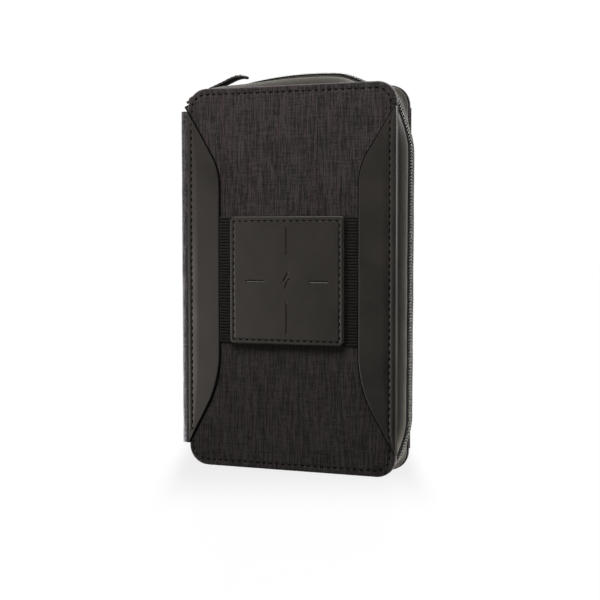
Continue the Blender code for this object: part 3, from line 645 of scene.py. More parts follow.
def cover_seam_path(side):
    """The row of stitches round a cover, on the leather or on the fabric."""
    low = Vector((-HALF + SEAM_INSET["left"], SEAM_INSET["end"]))
    high = Vector((HALF - SEAM_INSET["right"], TOP - SEAM_INSET["end"]))
    points = []
    for x, z, _ in ring_points(low, high, CORNER - 3.4, CORNER, 8, (40, 24)):
        face = LEATHER_FACE if on_leather(x, z) else SKIN_FACE
        points.append((x, side * (face - 0.02), z))
    return points + points[:1]


def make_cover(name, side, body):
    """Fabric turned over the board, leather side panels, the stitches, and the lining."""
    rim = [(0.0, SKIN_FACE - RIM_END), (0.0, 1.9)] + rounded_edge(1.0, 6)
    profile = rim + [(1.8, 0.0)] + seam(SEAM_INSET["end"], 0.16) + [(6.0, 0.0), (9.0, 0.0), (12.1, 0.0)]

    def relief(x, z, inset, depth, normal):
        return hills(x, z, 11, 0.1, 3.0 * side) if inset > 1 else 0.0

    low, high = (-HALF, 0), (HALF, TOP)
    place = (low, high, CORNER, SKIN_FACE, side)
    skin = panel(f"{name}_cover_skin", *place, profile, "melange_fabric", (60, 34), relief, 0.45)
    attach(skin, body)
    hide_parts(f"{name}_fabric_skin")
    for part, direction in (("left", -1), ("right", 1)):
        piece = leather_panel(f"{name}_side_panel_{part}", side, direction, SEAM_INSET[part])
        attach(piece, body)
        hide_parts(f"{name}_leather_{part}")
        # A dark thread-coloured tube on the fabric along each panel's inner edge: partly the leather's dark
        # edge paint, partly a painted shadow of the raised panel's edge.
        line = [(p.x - direction * 0.42, side * (SKIN_FACE + 0.1), p.y) for p in EDGES[direction]]
        edge_paint_and_shadow = tube(f"{name}_panel_edge_{part}", line, 0.45, 8, "thread")
        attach(edge_paint_and_shadow, body)
    thread = stitches(f"{name}_cover_stitches", cover_seam_path(side), (0, side, 0))
    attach(thread, body)

    def slack(x, z, inset, depth, normal):
        return hills(x, z, 18, 0.08, 7.0 + side) if inset > 1 else 0.0

    flat = [(0.0, 0.3), (0.15, 0.08), (0.6, 0.0), (12.1, 0.0)]
    low, high = (INSIDE_MARGIN - HALF, INSIDE_MARGIN), (HALF - INSIDE_MARGIN, TOP - INSIDE_MARGIN)
    place = (low, high, CORNER - INSIDE_MARGIN, -11.1, -side)
    lining = panel(f"{name}_inner_lining", *place, flat, "lining_cloth", (40, 22), slack, 0.3)
    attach(lining, body)
    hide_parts(f"{name}_lining")


# The zip's path, as in the CAD part: the outline's point, its normal, and how far out the chain is


def arc_height(x):
    return ARC_CENTRE_Z + math.sqrt(ARC_RADIUS**2 - (x - ARC_CENTRE_X) ** 2)


def ray_to_arc(centre, direction):
    offset = Vector((centre[0] - ARC_CENTRE_X, centre[1] - ARC_CENTRE_Z))
    along = offset.dot(direction)
    return -along + math.sqrt(along**2 - offset.length_squared + ARC_RADIUS**2)


def fade(distance, reach):
    return math.cos(math.pi / 2 * min(distance / reach, 1)) ** 2


def dipped(bulge, dip, distance, reach):
    return bulge - (bulge + dip) * fade(distance, reach)


def corner_stations(corner, start, end, steps, offset):
    found = []
    for i in range(steps + 1):
        angle = start + (end - start) * i / steps
        normal = Vector((math.cos(math.radians(angle)), math.sin(math.radians(angle))))
        found.append((Vector(corner) + normal * CORNER, normal, offset(normal, angle)))
    return found


def side_stations(start, end, steps, normal, offset):
    found = []
    for i in range(1, steps):
        point = Vector(start).lerp(Vector(end), i / steps)
        found.append((point, Vector(normal), offset(point)))
    return found


def zip_stations():
    """Round the top, right and bottom, from the spine's upper end to its lower end."""
    x, low, high = HALF - CORNER, CORNER, TOP - CORNER
    quarter = math.pi / 4 * CORNER

    def top_left(normal, angle):
        return ray_to_arc((-x, high), normal) - CORNER

    def along_top(point):
        return dipped(arc_height(point.x) - TOP, CORNER_DIP, x - point.x + quarter, DIP_REACH)

    def side(z):
        return SIDE_BULGE + SIDE_SLANT * (z / TOP - 0.5)

    def top_right(normal, angle):
        along = (angle - 45) / 45 * quarter
        if along > 0:
            return dipped(arc_height(x) - TOP, CORNER_DIP, along, DIP_REACH)
        return dipped(side(high), CORNER_DIP, -along, DIP_REACH)

    def along_right(point):
        bulge = side(point.y)
        upper = fade(high - point.y + quarter, DIP_REACH)
        lower = fade(point.y - low + quarter, LOWER_REACH)
        return bulge - (bulge + CORNER_DIP) * upper - (bulge + LOWER_DIP) * lower

    def bottom_right(normal, angle):
        along = (angle + 45) / 45 * quarter
        if along > 0:
            return dipped(side(low), LOWER_DIP, along, LOWER_REACH)
        return dipped(-BOTTOM_INSET, LOWER_DIP, -along, BOTTOM_REACH)

    def along_bottom(point):
        return dipped(-BOTTOM_INSET, LOWER_DIP, x - point.x + quarter, BOTTOM_REACH)

    def bottom_left(normal, angle):
        return -BOTTOM_INSET + (BOTTOM_END + BOTTOM_INSET) * fade(angle + BOTTOM_END_ANGLE, 88)

    found = corner_stations((-x, high), TOP_END_ANGLE, 90, 27, top_left)
    found += side_stations((-x, TOP), (x, TOP), 60, (0, 1), along_top)
    found += corner_stations((x, high), 90, 0, 24, top_right)
    found += side_stations((HALF, high), (HALF, low), 96, (1, 0), along_right)
    found += corner_stations((x, low), 0, -90, 24, bottom_right)
    found += side_stations((x, 0), (-x, 0), 54, (0, -1), along_bottom)
    found += corner_stations((-x, low), -90, -BOTTOM_END_ANGLE, 24, bottom_left)
    return found


STATIONS = zip_stations()
# The bands go on a little, down behind the spine's upper end, after the chain has ended
LEAD = [(Vector((-HALF, 206 + 3 * i)), Vector((-1, 0)), 1.9 * i - 1.2) for i in range(4)]


def roll(station):
    """How far the gusset's outer roll stands out: under the chain, but over it on the way to the slider."""
    point, normal, offset = station
    if point.y < TOP / 2 or normal.x > 0.1:
        return offset - ROLL_UNDER
    if normal.x < -0.8:
        offset -= 9 * (-0.8 - normal.x)
    height, middle, width = ROLL_RAISE
    raised = height * math.exp(-(((point.x - middle) / width) ** 2)) * max(normal.y, 0) ** 4
    return offset - ROLL_UNDER_TOP + raised


def band(name, side, section, material, wall):
    """A band along the zip: section gives (|y|, offset) pairs at a station and its number."""
    rows = []
    for number, station in enumerate(LEAD + STATIONS):
        point, normal, _ = station
        row = []
        for y, offset in section(station, number):
            flat = point + normal * offset
            row.append((flat.x, side * y, flat.y))
        rows.append(row)
    return lofted(name, rows, material, wall, flip=side < 0)


def gusset_section(station, number):
    bulge = roll(station)
    outline = (
        (5.45, station[2] - 0.95),
        (5.75, min(station[2], bulge) - 0.35),
        (6.5, bulge),
        (7.7, bulge * 0.86 - 0.15),
        (9.0, bulge * 0.45 - 0.6),
        (9.9, -1.2),
        (10.3, -2.2),
    )
    found = []
    points = smooth_curve(outline, 3)
    for i, p in enumerate(points):
        middle = math.sin(math.pi * i / (len(points) - 1))
        crease = 0.22 * noise.noise(Vector((number * 0.11, i * 0.16, 0)))
        crease += 0.1 * noise.noise(Vector((number * 0.4, i * 0.3, 5)))
        found.append((p.x, p.y + crease * middle))
    return found


def tape_section(station, number):
    """Under the chain, and down at its edge to the gusset, less steeply along the top."""
    level = max(station[1].y, 0.0)
    drops = [(0.25, 0.6), (1.5, 0.42), (3.9, 0.35), (5.0, 0.45)]
    drops += [(5.6, 0.9 - 0.3 * level), (6.1, 1.7 - 0.8 * level)]
    return [(across, station[2] - drop) for across, drop in drops]


def chain_frames(pitch, start):
    """(position, along, out) every pitch along the middle of the chain, in (x, z)."""
    line = [point + normal * offset for point, normal, offset in STATIONS[3:-3]]
    return [(place, along, Vector((-along.y, along.x))) for place, along in along_line(line, pitch, start)]


# One turn of the coil: along the chain, across it from its middle, and out
TOOTH = (
    (0.00, 2.50, -0.46),
    (0.03, 1.75, -0.66),
    (0.06, 0.70, -0.62),
    (0.10, -0.12, -0.30),
    (0.12, -0.30, 0.02),
    (0.14, -0.12, 0.34),
    (0.22, 0.70, 0.66),
    (0.48, 1.75, 0.72),
    (0.78, 2.42, 0.42),
    (1.20, 2.62, -0.05),
)


def make_chain(name, side):
    """One side of the chain: a coiled filament whose heads reach between those of the other side."""
    points = []
    for place, along, out in chain_frames(TOOTH_PITCH, 0.9 if side > 0 else 0.9 + TOOTH_PITCH / 2):
        for u, v, w in TOOTH:
            flat = place + along * u + out * w
            points.append((flat.x, side * v, flat.y))
    return tube(name, points, TOOTH_WIRE, 6, "zip_coil")


def make_zip_half(name, side, body):
    gusset = band(f"{name}_gusset_cloth", side, gusset_section, "gusset_fabric", 0.6)
    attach(gusset, body)
    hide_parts(f"{name}_gusset")
    tape = band(f"{name}_zip_tape_cloth", side, tape_section, "zip_tape", 0.4)
    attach(tape, body)
    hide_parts(f"{name}_zip_tape")
    chain = make_chain(f"{name}_chain", side)
    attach(chain, body)
    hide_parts(f"{name}_zip_coil")
    for end in ("top", "bottom"):
        refined(f"{name}_stop_{end}", f"{name}_zip_stop_{end}", body, "gunmetal", 0.3)


# Hard pieces: the CAD solid with its edges rounded


def refined(name, node, body, material, width, segments=3):
    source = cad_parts[node]
    bm = bmesh.new()
    bm.from_mesh(source.data)
    bmesh.ops.remove_doubles(bm, verts=bm.verts, dist=2e-6)
    bmesh.ops.dissolve_limit(bm, angle_limit=math.radians(1), verts=bm.verts, edges=bm.edges)
    mesh = bpy.data.meshes.new(name)
    bm.to_mesh(mesh)
    bm.free()
    obj = to_object(name, mesh, material, 35)
    edge = obj.modifiers.new("edge", "BEVEL")
    edge.width = width * MM
    edge.segments = segments
    edge.limit_method = "ANGLE"
    edge.angle_limit = math.radians(32)
    settled(obj)
    obj.data.shade_smooth()
    obj.data.set_sharp_from_angle(angle=math.radians(35))
    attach(obj, body)
    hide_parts(node)
    return obj


# The spine


def make_spine():
    section = [
        (-66.45, 12.95),
        (-67.8, 13.0),
        (-69.1, 12.85),
        (-70.5, 12.4),
        (-71.4, 11.5),
        (-71.8, 10.2),
        (-72.1, 7.8),
        (-72.3, 4.0),
        (-72.35, 0.0),
    ]
    line = smooth_curve(section, 4)
    low, high = SPINE_ENDS
    ends = (0.0, 0.05, 0.3, 0.8)
    heights = [low + step for step in ends[:3]]
    heights += [low + ends[3] + i * (high - low - 2 * ends[3]) / 50 for i in range(51)]
    heights += [high - step for step in ends[2::-1]]
    tucks = {0: 0.35, 1: 0.12, len(heights) - 1: 0.35, len(heights) - 2: 0.12}
    for side, name, start_body, end_body in (
        (-1, "front_spine_cloth", "front_cover", "spine"),
        (1, "rear_spine_cloth", "spine", "rear_cover"),
    ):
        rows = []
        for number, z in enumerate(heights):
            tuck = tucks.get(number, 0.0)
            row = []
            for i, p in enumerate(line):
                share = min(i, len(line) - 1 - i) / 6
                wave = hills(i * 2.4, z, 14, 0.14, 4.0) * min(share, 1.0)
                x = p.x + tuck * (0.3 if p.x > -71.5 else 1) + wave
                row.append((x, side * (p.y - tuck * (p.y > 9)), z))
            rows.append(row)
        obj = lofted(name, rows, "spine_fabric", 0.5, flip=side < 0)
        if side < 0:
            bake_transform(obj)
            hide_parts("front_spine_strip", "spine_fabric")
        else:
            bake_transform(obj)
            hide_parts("rear_spine_strip")
    lining = lofted(
        "spine_inner_lining",
        [[(-69.6 - 0.1 * math.cos(y), y, z) for y in range(-9, 10)] for z in range(14, 215, 4)],
        "lining_cloth",
        0.35,
        flip=True,
    )
    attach(lining, "spine")
    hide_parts("spine_lining")


def at(x, y, z):
    return ORIGIN + Vector((x, y, z)) * MM


# The patch and its band


def distance_to(point, a, b):
    line = b - a
    t = max(0.0, min(1.0, (point - a).dot(line) / line.length_squared))
    return (point - a - line * t).length


def inside(point, outline):
    hit = False
    for a, b in zip(outline, outline[1:] + outline[:1]):
        if (a.y > point.y) != (b.y > point.y) and point.x < a.x + (b.x - a.x) * (point.y - a.y) / (b.y - a.y):
            hit = not hit
    return hit


CROSS_LINES = [(Vector(a), Vector(b)) for a, b in CROSS]
BOLT_OUTLINE = [Vector(p) for p in BOLT]
BOLT_EDGES = list(zip(BOLT_OUTLINE, BOLT_OUTLINE[1:] + BOLT_OUTLINE[:1]))


def debossed(x, z):
    """The depth of the pressed lines and the small bolt sign."""
    point = Vector((x, z))
    depth = 0.0
    near = min(distance_to(point, a, b) for a, b in CROSS_LINES)
    if near < GROOVE_HALF:
        depth = GROOVE_DEPTH * math.cos(math.pi / 2 * near / GROOVE_HALF) ** 0.6
    if abs(x) < 6 and abs(z - 113) < 9:
        edge = min(distance_to(point, a, b) for a, b in BOLT_EDGES)
        sunk = min(edge / 0.35, 1.0) if inside(point, BOLT_OUTLINE) else 0.0
        depth = max(depth, GROOVE_DEPTH * sunk)
    return depth


def make_patch():
    profile = [(0.0, 1.5), (0.0, 1.1)] + rounded_edge(0.9, 6) + [(1.4, 0.0)]
    profile += seam(PATCH_SEAM, 0.18, 0.6) + [(4.0, 0.0)]

    def relief(x, z, inset, depth, normal):
        if inset < 1:
            return 0.0
        return debossed(x, z) + hills(x, z, 12, 0.05, 2.0)

    shape = (PATCH_LOW, PATCH_HIGH, PATCH_RADIUS)
    patch = panel("patch", *shape, PATCH_FACE, -1, profile, "patch_leather", (206, 194), relief, 0.0, 6)
    closed = closed_back(patch)
    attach(closed, "charging_patch")
    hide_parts("patch_leather", "patch_padding")
    low = PATCH_LOW + Vector((PATCH_SEAM, PATCH_SEAM))
    high = PATCH_HIGH - Vector((PATCH_SEAM, PATCH_SEAM))
    line = [(x, -PATCH_FACE + 0.08, z) for x, z, _ in ring_points(low, high, 0.9, 1.0, 2, (24, 24))]
    thread = stitches("patch_stitches", line + line[:1], (0, -1, 0), length=2.2)
    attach(thread, "charging_patch")
    profile = [(0.1, 0.25), (0.0, 0.12), (0.1, 0.03), (0.4, 0.0), (3.2, 0.0)]
    back = panel("patch_back", *shape, BACKING_FACE, -1, profile, "black_leather", (20, 20), wall=0.0)
    back = closed_back(back)
    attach(back, "charging_patch")
    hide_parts("patch_backing")


def closed_back(obj):
    """Fills the open back of a panel."""
    bm = bmesh.new()
    bm.from_mesh(obj.data)
    bmesh.ops.holes_fill(bm, edges=[e for e in bm.edges if e.is_boundary], sides=0)
    bm.to_mesh(obj.data)
    bm.free()
    obj.data.set_sharp_from_angle(angle=math.radians(45))
    return obj


def ribbed_strip(name, start, end):
    """Woven elastic with ribs across its width."""
    per_rib, columns = 8, 8
    bottom, top = PATCH_LOW.y + BAND_MARGIN, PATCH_HIGH.y - BAND_MARGIN
    count = round((top - bottom) / RIB_PITCH) * per_rib
    rows = []
    for i in range(count + 1):
        z = bottom + (top - bottom) * i / count
        rib = abs(math.sin(math.pi * i / per_rib)) ** 0.6
        edge = min(i, count - i) / per_rib
        row = []
        for j in range(columns + 1):
            x = start + (end - start) * j / columns
            row.append((x, -BAND_FACE - RIB_DEPTH * rib - 0.06 * min(edge, 1.0), z))
        rows.append(row)
    return lofted(name, rows, "elastic_webbing", 0.25)


def make_band():
    left, right = PANEL_EDGES[-1] + 0.3, PANEL_EDGES[1] - 0.3
    for name, start, end in (
        ("left", left, PATCH_LOW.x - 0.2),
        ("middle", PATCH_LOW.x + 0.1, PATCH_HIGH.x - 0.1),
        ("right", PATCH_HIGH.x + 0.2, right),
    ):
        strip = ribbed_strip(f"band_{name}", start, end)
        if name == "middle":
            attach(strip, "charging_patch")
        elif name == "left":
            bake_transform(strip)
        else:
            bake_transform(strip)
        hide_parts(f"elastic_band_{name}")


# The slider and its pull


def arc_frame():
    """The matrix that brings (along, y, out) at the middle of the arc to the slider's place."""
    angle = math.asin((SLIDER_X - ARC_CENTRE_X) / ARC_RADIUS)
    seat = Vector((SLIDER_X, 0, arc_height(SLIDER_X)))
    return Matrix.Translation(seat) @ Matrix.Rotation(angle, 4, "Y")


def box_part(low, high):
    x0, y0, z0 = low
    x1, y1, z1 = high
    verts = [Vector((x, y, z)) for z in (z0, z1) for x, y in ((x0, y0), (x1, y0), (x1, y1), (x0, y1))]
    faces = [(3, 2, 1, 0), (4, 5, 6, 7), (0, 1, 5, 4), (1, 2, 6, 5), (2, 3, 7, 6), (3, 0, 4, 7)]
    return verts, faces


def slab(outline, low, high):
    """A flat piece from an outline (x, y), anticlockwise, between two heights."""
    count = len(outline)
    verts = [Vector((x, y, low)) for x, y in outline] + [Vector((x, y, high)) for x, y in outline]
    faces = [tuple(range(count))[::-1], tuple(range(count, 2 * count))]
    faces += [(i, (i + 1) % count, count + (i + 1) % count, count + i) for i in range(count)]
    return verts, faces


def make_slider():
    frame_matrix = arc_frame()
    plate = [(-4.3, -2.6), (-3.4, -3.8), (-0.5, -3.9), (3.2, -3.3), (4.4, -2.5), (4.5, 0)]
    plate += [(4.4, 2.5), (3.2, 3.3), (-0.5, 3.9), (-3.4, 3.8), (-4.3, 2.6), (-4.5, 0)]
    rear = [(-4.4, -0.2), (4.4, -0.2)] + [p for p in plate if p[1] > 0]
    arch = smooth_curve([(-2.9, 2.7), (-2.75, 4.1), (-1.4, 4.75), (1.4, 4.75), (2.75, 4.1), (2.9, 2.7)], 5)
    bridge = tube_mesh([(p.x, 0, p.y) for p in arch], 0.62, 10)
    parts = [
        slab(plate, 2.1, 3.0),
        slab(rear, -2.3, -1.4),
        box_part((-3.9, -0.2, -1.7), (-1.0, 0.2, 2.4)),
        box_part((-3.6, 3.3, 0.75), (3.4, 3.85, 2.4)),
        box_part((-3.6, -3.85, 1.15), (3.4, -3.3, 2.4)),
        box_part((-3.6, 3.3, -1.7), (3.4, 3.85, -0.75)),
        bridge,
    ]
    verts, faces = joined(parts)
    slider = build("slider", [frame_matrix @ Vector(v) for v in verts], faces, "gunmetal")
    melt = slider.modifiers.new("melt", "REMESH")
    melt.mode = "VOXEL"
    melt.voxel_size = 0.14 * MM
    soft = slider.modifiers.new("soft", "SMOOTH")
    soft.iterations = 5
    soft.factor = 0.5
    settled(slider)
    slider.data.shade_smooth()
    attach(slider, "zip_slider")
    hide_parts("zip_slider")

    reach, arm = 6.0, 2.3
    cut = 0.6
    ring = [(0, cut - arm), (0, arm - cut), (cut, arm), (reach - cut, arm)]
    ring += [(reach, arm - cut), (reach, cut - arm), (reach - cut, -arm), (cut, -arm)]
    closed = smooth_curve([*ring[-1:], *ring, *ring[:2]], 4)[4:-5]
    line = [frame_matrix @ Vector((p.x, p.y, PULL_PIVOT)) for p in closed]
    link = tube("pull_wire", line, 0.47, 10, "gunmetal", closed=True)
    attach(link, "zip_pull")
    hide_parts("pull_link")
    make_pull_tab(frame_matrix)


def make_pull_tab(frame_matrix):
    """A folded leather strip with a stitched edge, its tip rounded."""
    start = frame_matrix @ Vector((6.75, 0, PULL_PIVOT))
    rise = [(-56, 228.8), (-47.5, 232.1), (-41, 234.7), (-36.6, 235.6), (-32.8, 235.1)]
    line = smooth_curve([(start.x, start.z), *rise], 7)
    total = len(line) - 1
    verts, faces = [], []
    section = 16
    for i, p in enumerate(line):
        before, after = line[max(i - 1, 0)], line[min(i + 1, total)]
        along = (after - before).normalized()
        out = Vector((-along.y, along.x))
        t = i / total
        left = (line[-1] - p).length
        half = 4.15 * (0.62 + 0.38 * min(t / 0.12, 1.0))
        if left < 3.2:
            half *= math.sqrt(max(1 - ((3.2 - left) / 3.2) ** 2 * 0.55, 0.02))
        thick = 0.95 * min(1.0, 0.72 + left / 4)
        for k in range(section):
            angle = 2 * math.pi * k / section
            c, s = math.cos(angle), math.sin(angle)
            y = half * math.copysign(abs(c) ** 0.35, c)
            w = thick * math.copysign(abs(s) ** 0.55, s)
            flat = p + out * w
            verts.append((flat.x, y, flat.y))
    faces = grid_faces(total + 1, section, ring=True)
    faces += [tuple(range(section))[::-1], tuple(range(total * section, (total + 1) * section))]
    tab = build("pull_leather", verts, faces, "black_leather", 50)
    bevel = tab.modifiers.new("edge", "BEVEL")
    bevel.width = 0.2 * MM
    bevel.segments = 2
    bevel.limit_method = "ANGLE"
    settled(tab)
    tab.data.shade_smooth()
    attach(tab, "zip_pull")
    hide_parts("pull_tab")
    edge = []
    inner = line[6:-4]
    for p, sign in [(p, -1) for p in inner] + [(p, 1) for p in reversed(inner)]:
        edge.append((p.x - 0.05, sign * 3.1, p.y + 0.98))
    thread = stitches("pull_stitches", edge, (0, 0, 1), pitch=3.0, length=1.6, radius=0.22)
    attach(thread, "zip_pull")


# The inside


def pocket(name, node, low, high, face, side, rim, radius, steps, relief, rounding):
    """A patch pocket: its top edge is hemmed and open, and its other edges turn back to the cover."""
    cover = "front" if side > 0 else "rear"
    depths = [rim, rim * 0.75, rim * 0.5]
    profile = [(0.0, d) for d in depths if d > rounding * 1.05] + rounded_edge(rounding, 5)
    profile += [(rounding + 0.6, 0.0), (max(radius, rounding) + 1.6, 0.0)]

    def hemmed(x, z, inset, depth, normal):
        extra = relief(x, z) if inset > 1 else 0.0
        if normal.y > 0.3 and depth > 0.3:
            share = min((normal.y - 0.3) / 0.5, 1.0)
            extra -= (depth - 0.3) * share
        if z > high[1] - 6.0 and inset > 0.5:
            rise = min((z - (high[1] - 6.0)) / 0.4, 1.0)
            extra -= 0.14 * rise
        return extra

    obj = panel(name, low, high, radius, face, side, profile, "lining_cloth", steps, hemmed, 0.3)
    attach(obj, f"{cover}_cover")
    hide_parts(node)
    edge = [(low[0] + 2, high[1] - 7), (high[0] - 2, high[1] - 7)]
    thread = seam_on_face(f"{name}_stitches", edge, face, side, f"{cover}_cover")


def seam_on_face(name, flat_points, face, side, body):
    """Small stitches on an inner layer: side is the way that the layer looks."""
    line = [(x, side * (face + 0.02), z) for x, z in flat_points]
    thread = stitches(name, line, (0, side, 0), "lining_thread", 2.6, 1.5, 0.17)
    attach(thread, body)
    return thread


def make_front_inside():
    def slack(x, z):
        return hills(x, z, 15, 0.12, 1.0)

    low, high = (-36.2, 42), (34.4, 168)
    pocket("bank_pocket", "power_bank_pocket", low, high, -2.1, 1, 8.5, 3.0, (30, 16), slack, 1.6)
    low, high = (-60, 7), (60, 128)
    pocket("passport_sleeve", "passport_pocket", low, high, -1.4, 1, 9.2, 4.0, (30, 28), slack, 1.8)


def make_rear_inside():
    def slack(x, z):
        return hills(x, z, 20, 0.05, 9.0)

    edges = [(0.0, 0.25), (0.12, 0.06), (0.5, 0.0), (3.2, 0.0)]

    def leaf(name, node, low, high, face, radius):
        def hem(x, z, inset, depth, normal):
            rise = min(max((z - (high[1] - 5.0)) / 0.4, 0.0), 1.0)
            return (slack(x, z) if inset > 0.3 else 0.0) - 0.12 * rise

        obj = panel(name, low, high, radius, face, -1, edges, "lining_cloth", (24, 20), hem, 0.25)
        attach(obj, "rear_cover")
        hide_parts(node)
        edge = [(low[0] + 1.5, high[1] - 5.6), (high[0] - 1.5, high[1] - 5.6)]
        thread = seam_on_face(f"{name}_stitches", edge, -face - 0.12, -1, "rear_cover")

    leaf("pass_pocket", "boarding_pass_pocket", (-60, 6), (60, 208), -10.3, 3)
    for i in range(4):
        low, high = (-60, 112 - i), (34, 202 - 13 * i)
        leaf(f"card_pocket_{i + 1}", f"card_slot_{i + 1}", low, high, -9.6 + 0.7 * i, 2)
    make_pen_loop()
    make_coin_pouch()


def make_pen_loop():
    """A ribbed elastic tube, upright beside the card slots."""
    ring = []
    ribs = 8
    for j in range(ribs * 4 + 1):
        z = 112 + 40 * j / (ribs * 4)
        row = []
        for i in range(32):
            angle = 2 * math.pi * i / 32
            r = 4.85 + 0.12 * abs(math.sin(math.pi * j / 2))
            row.append((49 + r * math.cos(angle), 4.9 + r * math.sin(angle), z))
        ring.append(row)
    verts = [p for row in ring for p in row]
    loop = build("pen_band", verts, grid_faces(len(ring), 32, True, ring=True), "elastic_webbing")
    normals_out(loop)
    thickened(loop, 0.35)
    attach(loop, "rear_cover")
    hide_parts("pen_loop")


def normals_out(obj):
    bm = bmesh.new()
    bm.from_mesh(obj.data)
    bmesh.ops.recalc_face_normals(bm, faces=bm.faces)
    bm.to_mesh(obj.data)
    bm.free()


def make_coin_pouch():
    def slack(x, z):
        return hills(x, z, 17, 0.15, 6.0)

    pocket("coin_purse", "coin_pouch", (-59, 8), (33, 92), -7.4, -1, 2.5, 3.0, (22, 24), slack, 1.0)
    for name, low, high in (("lower", 92.3, 96.95), ("upper", 99.85, 104.7)):
        rows = []
        for j in range(9):
            z = low + (high - low) * j / 8
            y = 7.52 if j in (0, 8) else 7.42
            rows.append([(x / 2, y + hills(x / 2, z, 9, 0.03), z) for x in range(-118, 67, 4)])
        tape = lofted(f"coin_tape_{name}", rows, "zip_tape", 0.3)
        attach(tape, "rear_cover")
        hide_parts(f"coin_zip_tape_{name}")
    turn = ((0.0, 0.5, -0.2), (0.08, -0.42, -0.28), (0.14, -0.5, 0.0))
    turn += ((0.2, -0.42, 0.28), (0.42, 0.5, 0.24), (0.7, 0.6, 0.0))
    for name, sign, z in (("lower", -1, 97.7), ("upper", 1, 99.0)):
        points = []
        count = 70
        for i in range(count):
            x = -57.6 + i * 89.0 / (count - 1) + (0.32 if sign > 0 else 0.0)
            for u, v, w in turn:
                points.append((x + u * 0.9, 7.6 - w, z + sign * v))
        chain = tube(f"coin_chain_{name}", points, 0.17, 5, "zip_coil")
        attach(chain, "rear_cover")
        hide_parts(f"coin_zip_coil_{name}")
    refined("coin_slider_body", "coin_zip_slider", "coin_slider", "gunmetal", 0.12)
    refined("coin_pull_plate", "coin_zip_pull", "coin_pull", "gunmetal", 0.2)


def make_power_bank():
    for part in ("outer", "inner"):
        refined(f"bank_shell_{part}", f"bank_{part}_shell", "front_cover", "bank_plastic", 0.3)
    refined("bank_button", "power_button", "power_button", "bank_plastic", 0.1, 2)
    refined("bank_lens", "indicator_lens", "front_cover", "lens_plastic", 0.1, 2)
    refined("bank_port", "usb_port", "front_cover", "steel", 0.08, 2)
    turns, steps = 16, 44
    first, last = 10.3, 21.7
    y = (centre_of("charging_coil").y - ORIGIN.y) / MM
    points = []
    for i in range(turns * steps + 1):
        angle = 2 * math.pi * i / steps
        r = first + (last - first) * i / (turns * steps)
        points.append((-0.9 + r * math.cos(angle), y, 113.3 + r * math.sin(angle)))
    coil = tube("bank_coil", points, 0.31, 6, "copper")
    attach(coil, "front_cover")
    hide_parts("charging_coil")


# CAD nodes that stay as they are


def paint_nodes():
    keep = {
        "greyboard": ("front_board", "rear_board", "spine_stiffener"),
        "cell_wrap": ("battery_cell",),
        "ferrite": ("ferrite_sheet",),
        "circuit_green": ("circuit_board",),
        "bank_plastic": ("button_switch",),
    }
    for material, nodes in keep.items():
        for node in nodes:
            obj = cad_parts[node]
            obj.data.materials.clear()
            obj.data.materials.append(MATERIALS[material])


# Surroundings


def new_light(name, place, target, size, power, colour, unseen):
    data = bpy.data.lights.new(name, "AREA")
    data.shape = "RECTANGLE"
    data.size, data.size_y = size
    data.energy = power
    data.color = colour
    obj = bpy.data.objects.new(name, data)
    bpy.context.scene.collection.objects.link(obj)
    obj.location = place
    obj.rotation_euler = (Vector(target) - Vector(place)).to_track_quat("-Z", "Y").to_euler()
    obj.visible_camera = False
    if unseen:
        setattr(obj, f"visible_{unseen}", False)


def seen_only(obj):
    """Seen by the camera, and lights nothing: the object's own light comes from the lamps and the world."""
    obj.visible_diffuse = False
    obj.visible_glossy = False
    obj.visible_transmission = False
    obj.visible_shadow = False


def glowing(name, strength):
    material = bpy.data.materials.new(name)
    material.use_nodes = True
    shader = material.node_tree.nodes["Principled BSDF"]
    shader.inputs["Base Color"].default_value = (0, 0, 0, 1)
    shader.inputs["Roughness"].default_value = 0.3
    shader.inputs["Specular IOR Level"].default_value = 0.12
    shader.inputs["Emission Color"].default_value = (1, 1, 1, 1)
    shader.inputs["Emission Strength"].default_value = strength
    return material


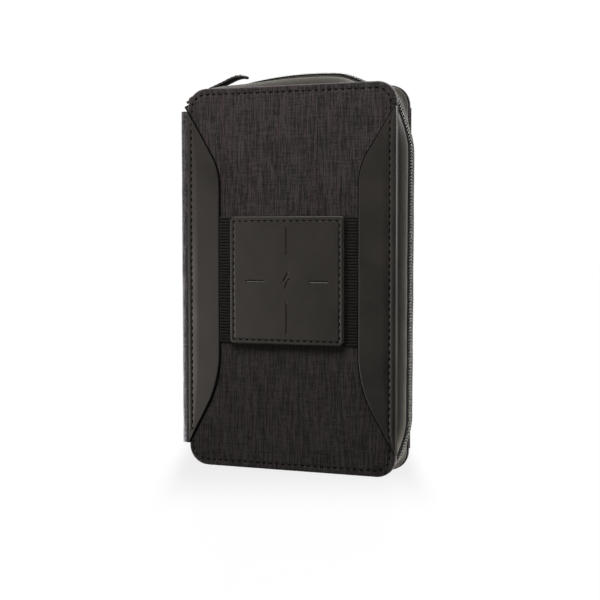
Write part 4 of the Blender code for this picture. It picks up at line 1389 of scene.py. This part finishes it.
def painted_mirror_shade(material, strength):
    """Darkens a polished floor's glow a little where the dark object would be mirrored in it: a painted
    reflection and contact shadow under the object.
    """
    graph = Graph(material)
    place = graph.node("ShaderNodeTexCoord", output="Object")
    turned = graph.node("ShaderNodeMapping", {"Vector": place, "Rotation": (0, 0, -VIEW_TURN)})
    split = graph.tree.nodes.new("ShaderNodeSeparateXYZ")
    graph.tree.links.new(turned, split.inputs[0])

    def faded(value, start, end):
        inputs = {"Value": value, "From Min": start, "From Max": end, "To Min": 1.0, "To Max": 0.0}
        return graph.node("ShaderNodeMapRange", inputs, interpolation_type="SMOOTHERSTEP")

    across = faded(graph.math("ABSOLUTE", split.outputs["X"], 0.0), 0.062, 0.082)
    towards = faded(graph.math("MULTIPLY", split.outputs["Y"], -1.0), -0.03, 0.15)
    # The painted shade: strongest just beside and in front of the object, fading away from it.
    painted_shade = graph.math("MULTIPLY", graph.math("MULTIPLY", across, towards), PAINTED_FLOOR_SHADE)
    light = graph.math("SUBTRACT", strength, painted_shade)
    graph.tree.links.new(light, material.node_tree.nodes["Principled BSDF"].inputs["Emission Strength"])


def make_surroundings():
    bpy.ops.mesh.primitive_circle_add(vertices=96, radius=5, fill_type="NGON", location=(0, 0, 0))
    floor = bpy.context.object
    floor.name = "floor"
    floor.data.materials.append(glowing("floor", FLOOR_GLOW))
    painted_mirror_shade(floor.data.materials[0], FLOOR_GLOW)
    seen_only(floor)
    bpy.ops.mesh.primitive_uv_sphere_add(segments=64, ring_count=32, radius=5, location=(0, 0, 0))
    dome = bpy.context.object
    dome.name = "backdrop"
    dome.data.materials.append(glowing("backdrop", 1.0))
    seen_only(dome)
    world = bpy.data.worlds.new("studio")
    bpy.context.scene.world = world
    world.use_nodes = True
    world.node_tree.nodes["Background"].inputs["Color"].default_value = (1, 1, 1, 1)
    world.node_tree.nodes["Background"].inputs["Strength"].default_value = WORLD_LIGHT
    for name, settings in LIGHTS.items():
        new_light(name, *settings)
    bpy.context.scene.view_settings.view_transform = "Standard"


def make_camera():
    data = bpy.data.cameras.new("camera")
    data.sensor_width = 36
    data.lens = CAMERA_LENS
    camera = bpy.data.objects.new("camera", data)
    bpy.context.scene.collection.objects.link(camera)
    level = math.cos(VIEW_RISE)
    back = Vector((math.sin(VIEW_TURN) * level, -math.cos(VIEW_TURN) * level, math.sin(VIEW_RISE)))
    turn = back.to_track_quat("Z", "Y").to_matrix().to_4x4() @ Matrix.Rotation(VIEW_TILT, 4, "Z")
    camera.matrix_world = Matrix.Translation(at(*CAMERA_PLACE)) @ turn
    bpy.context.scene.camera = camera


make_camera()
make_surroundings()
for make in (make_cover, make_zip_half):
    make("front", -1, "front_cover")
    make("rear", 1, "rear_cover")
make_spine()
make_patch()
make_band()
make_slider()
make_front_inside()
make_rear_inside()
make_power_bank()
paint_nodes()
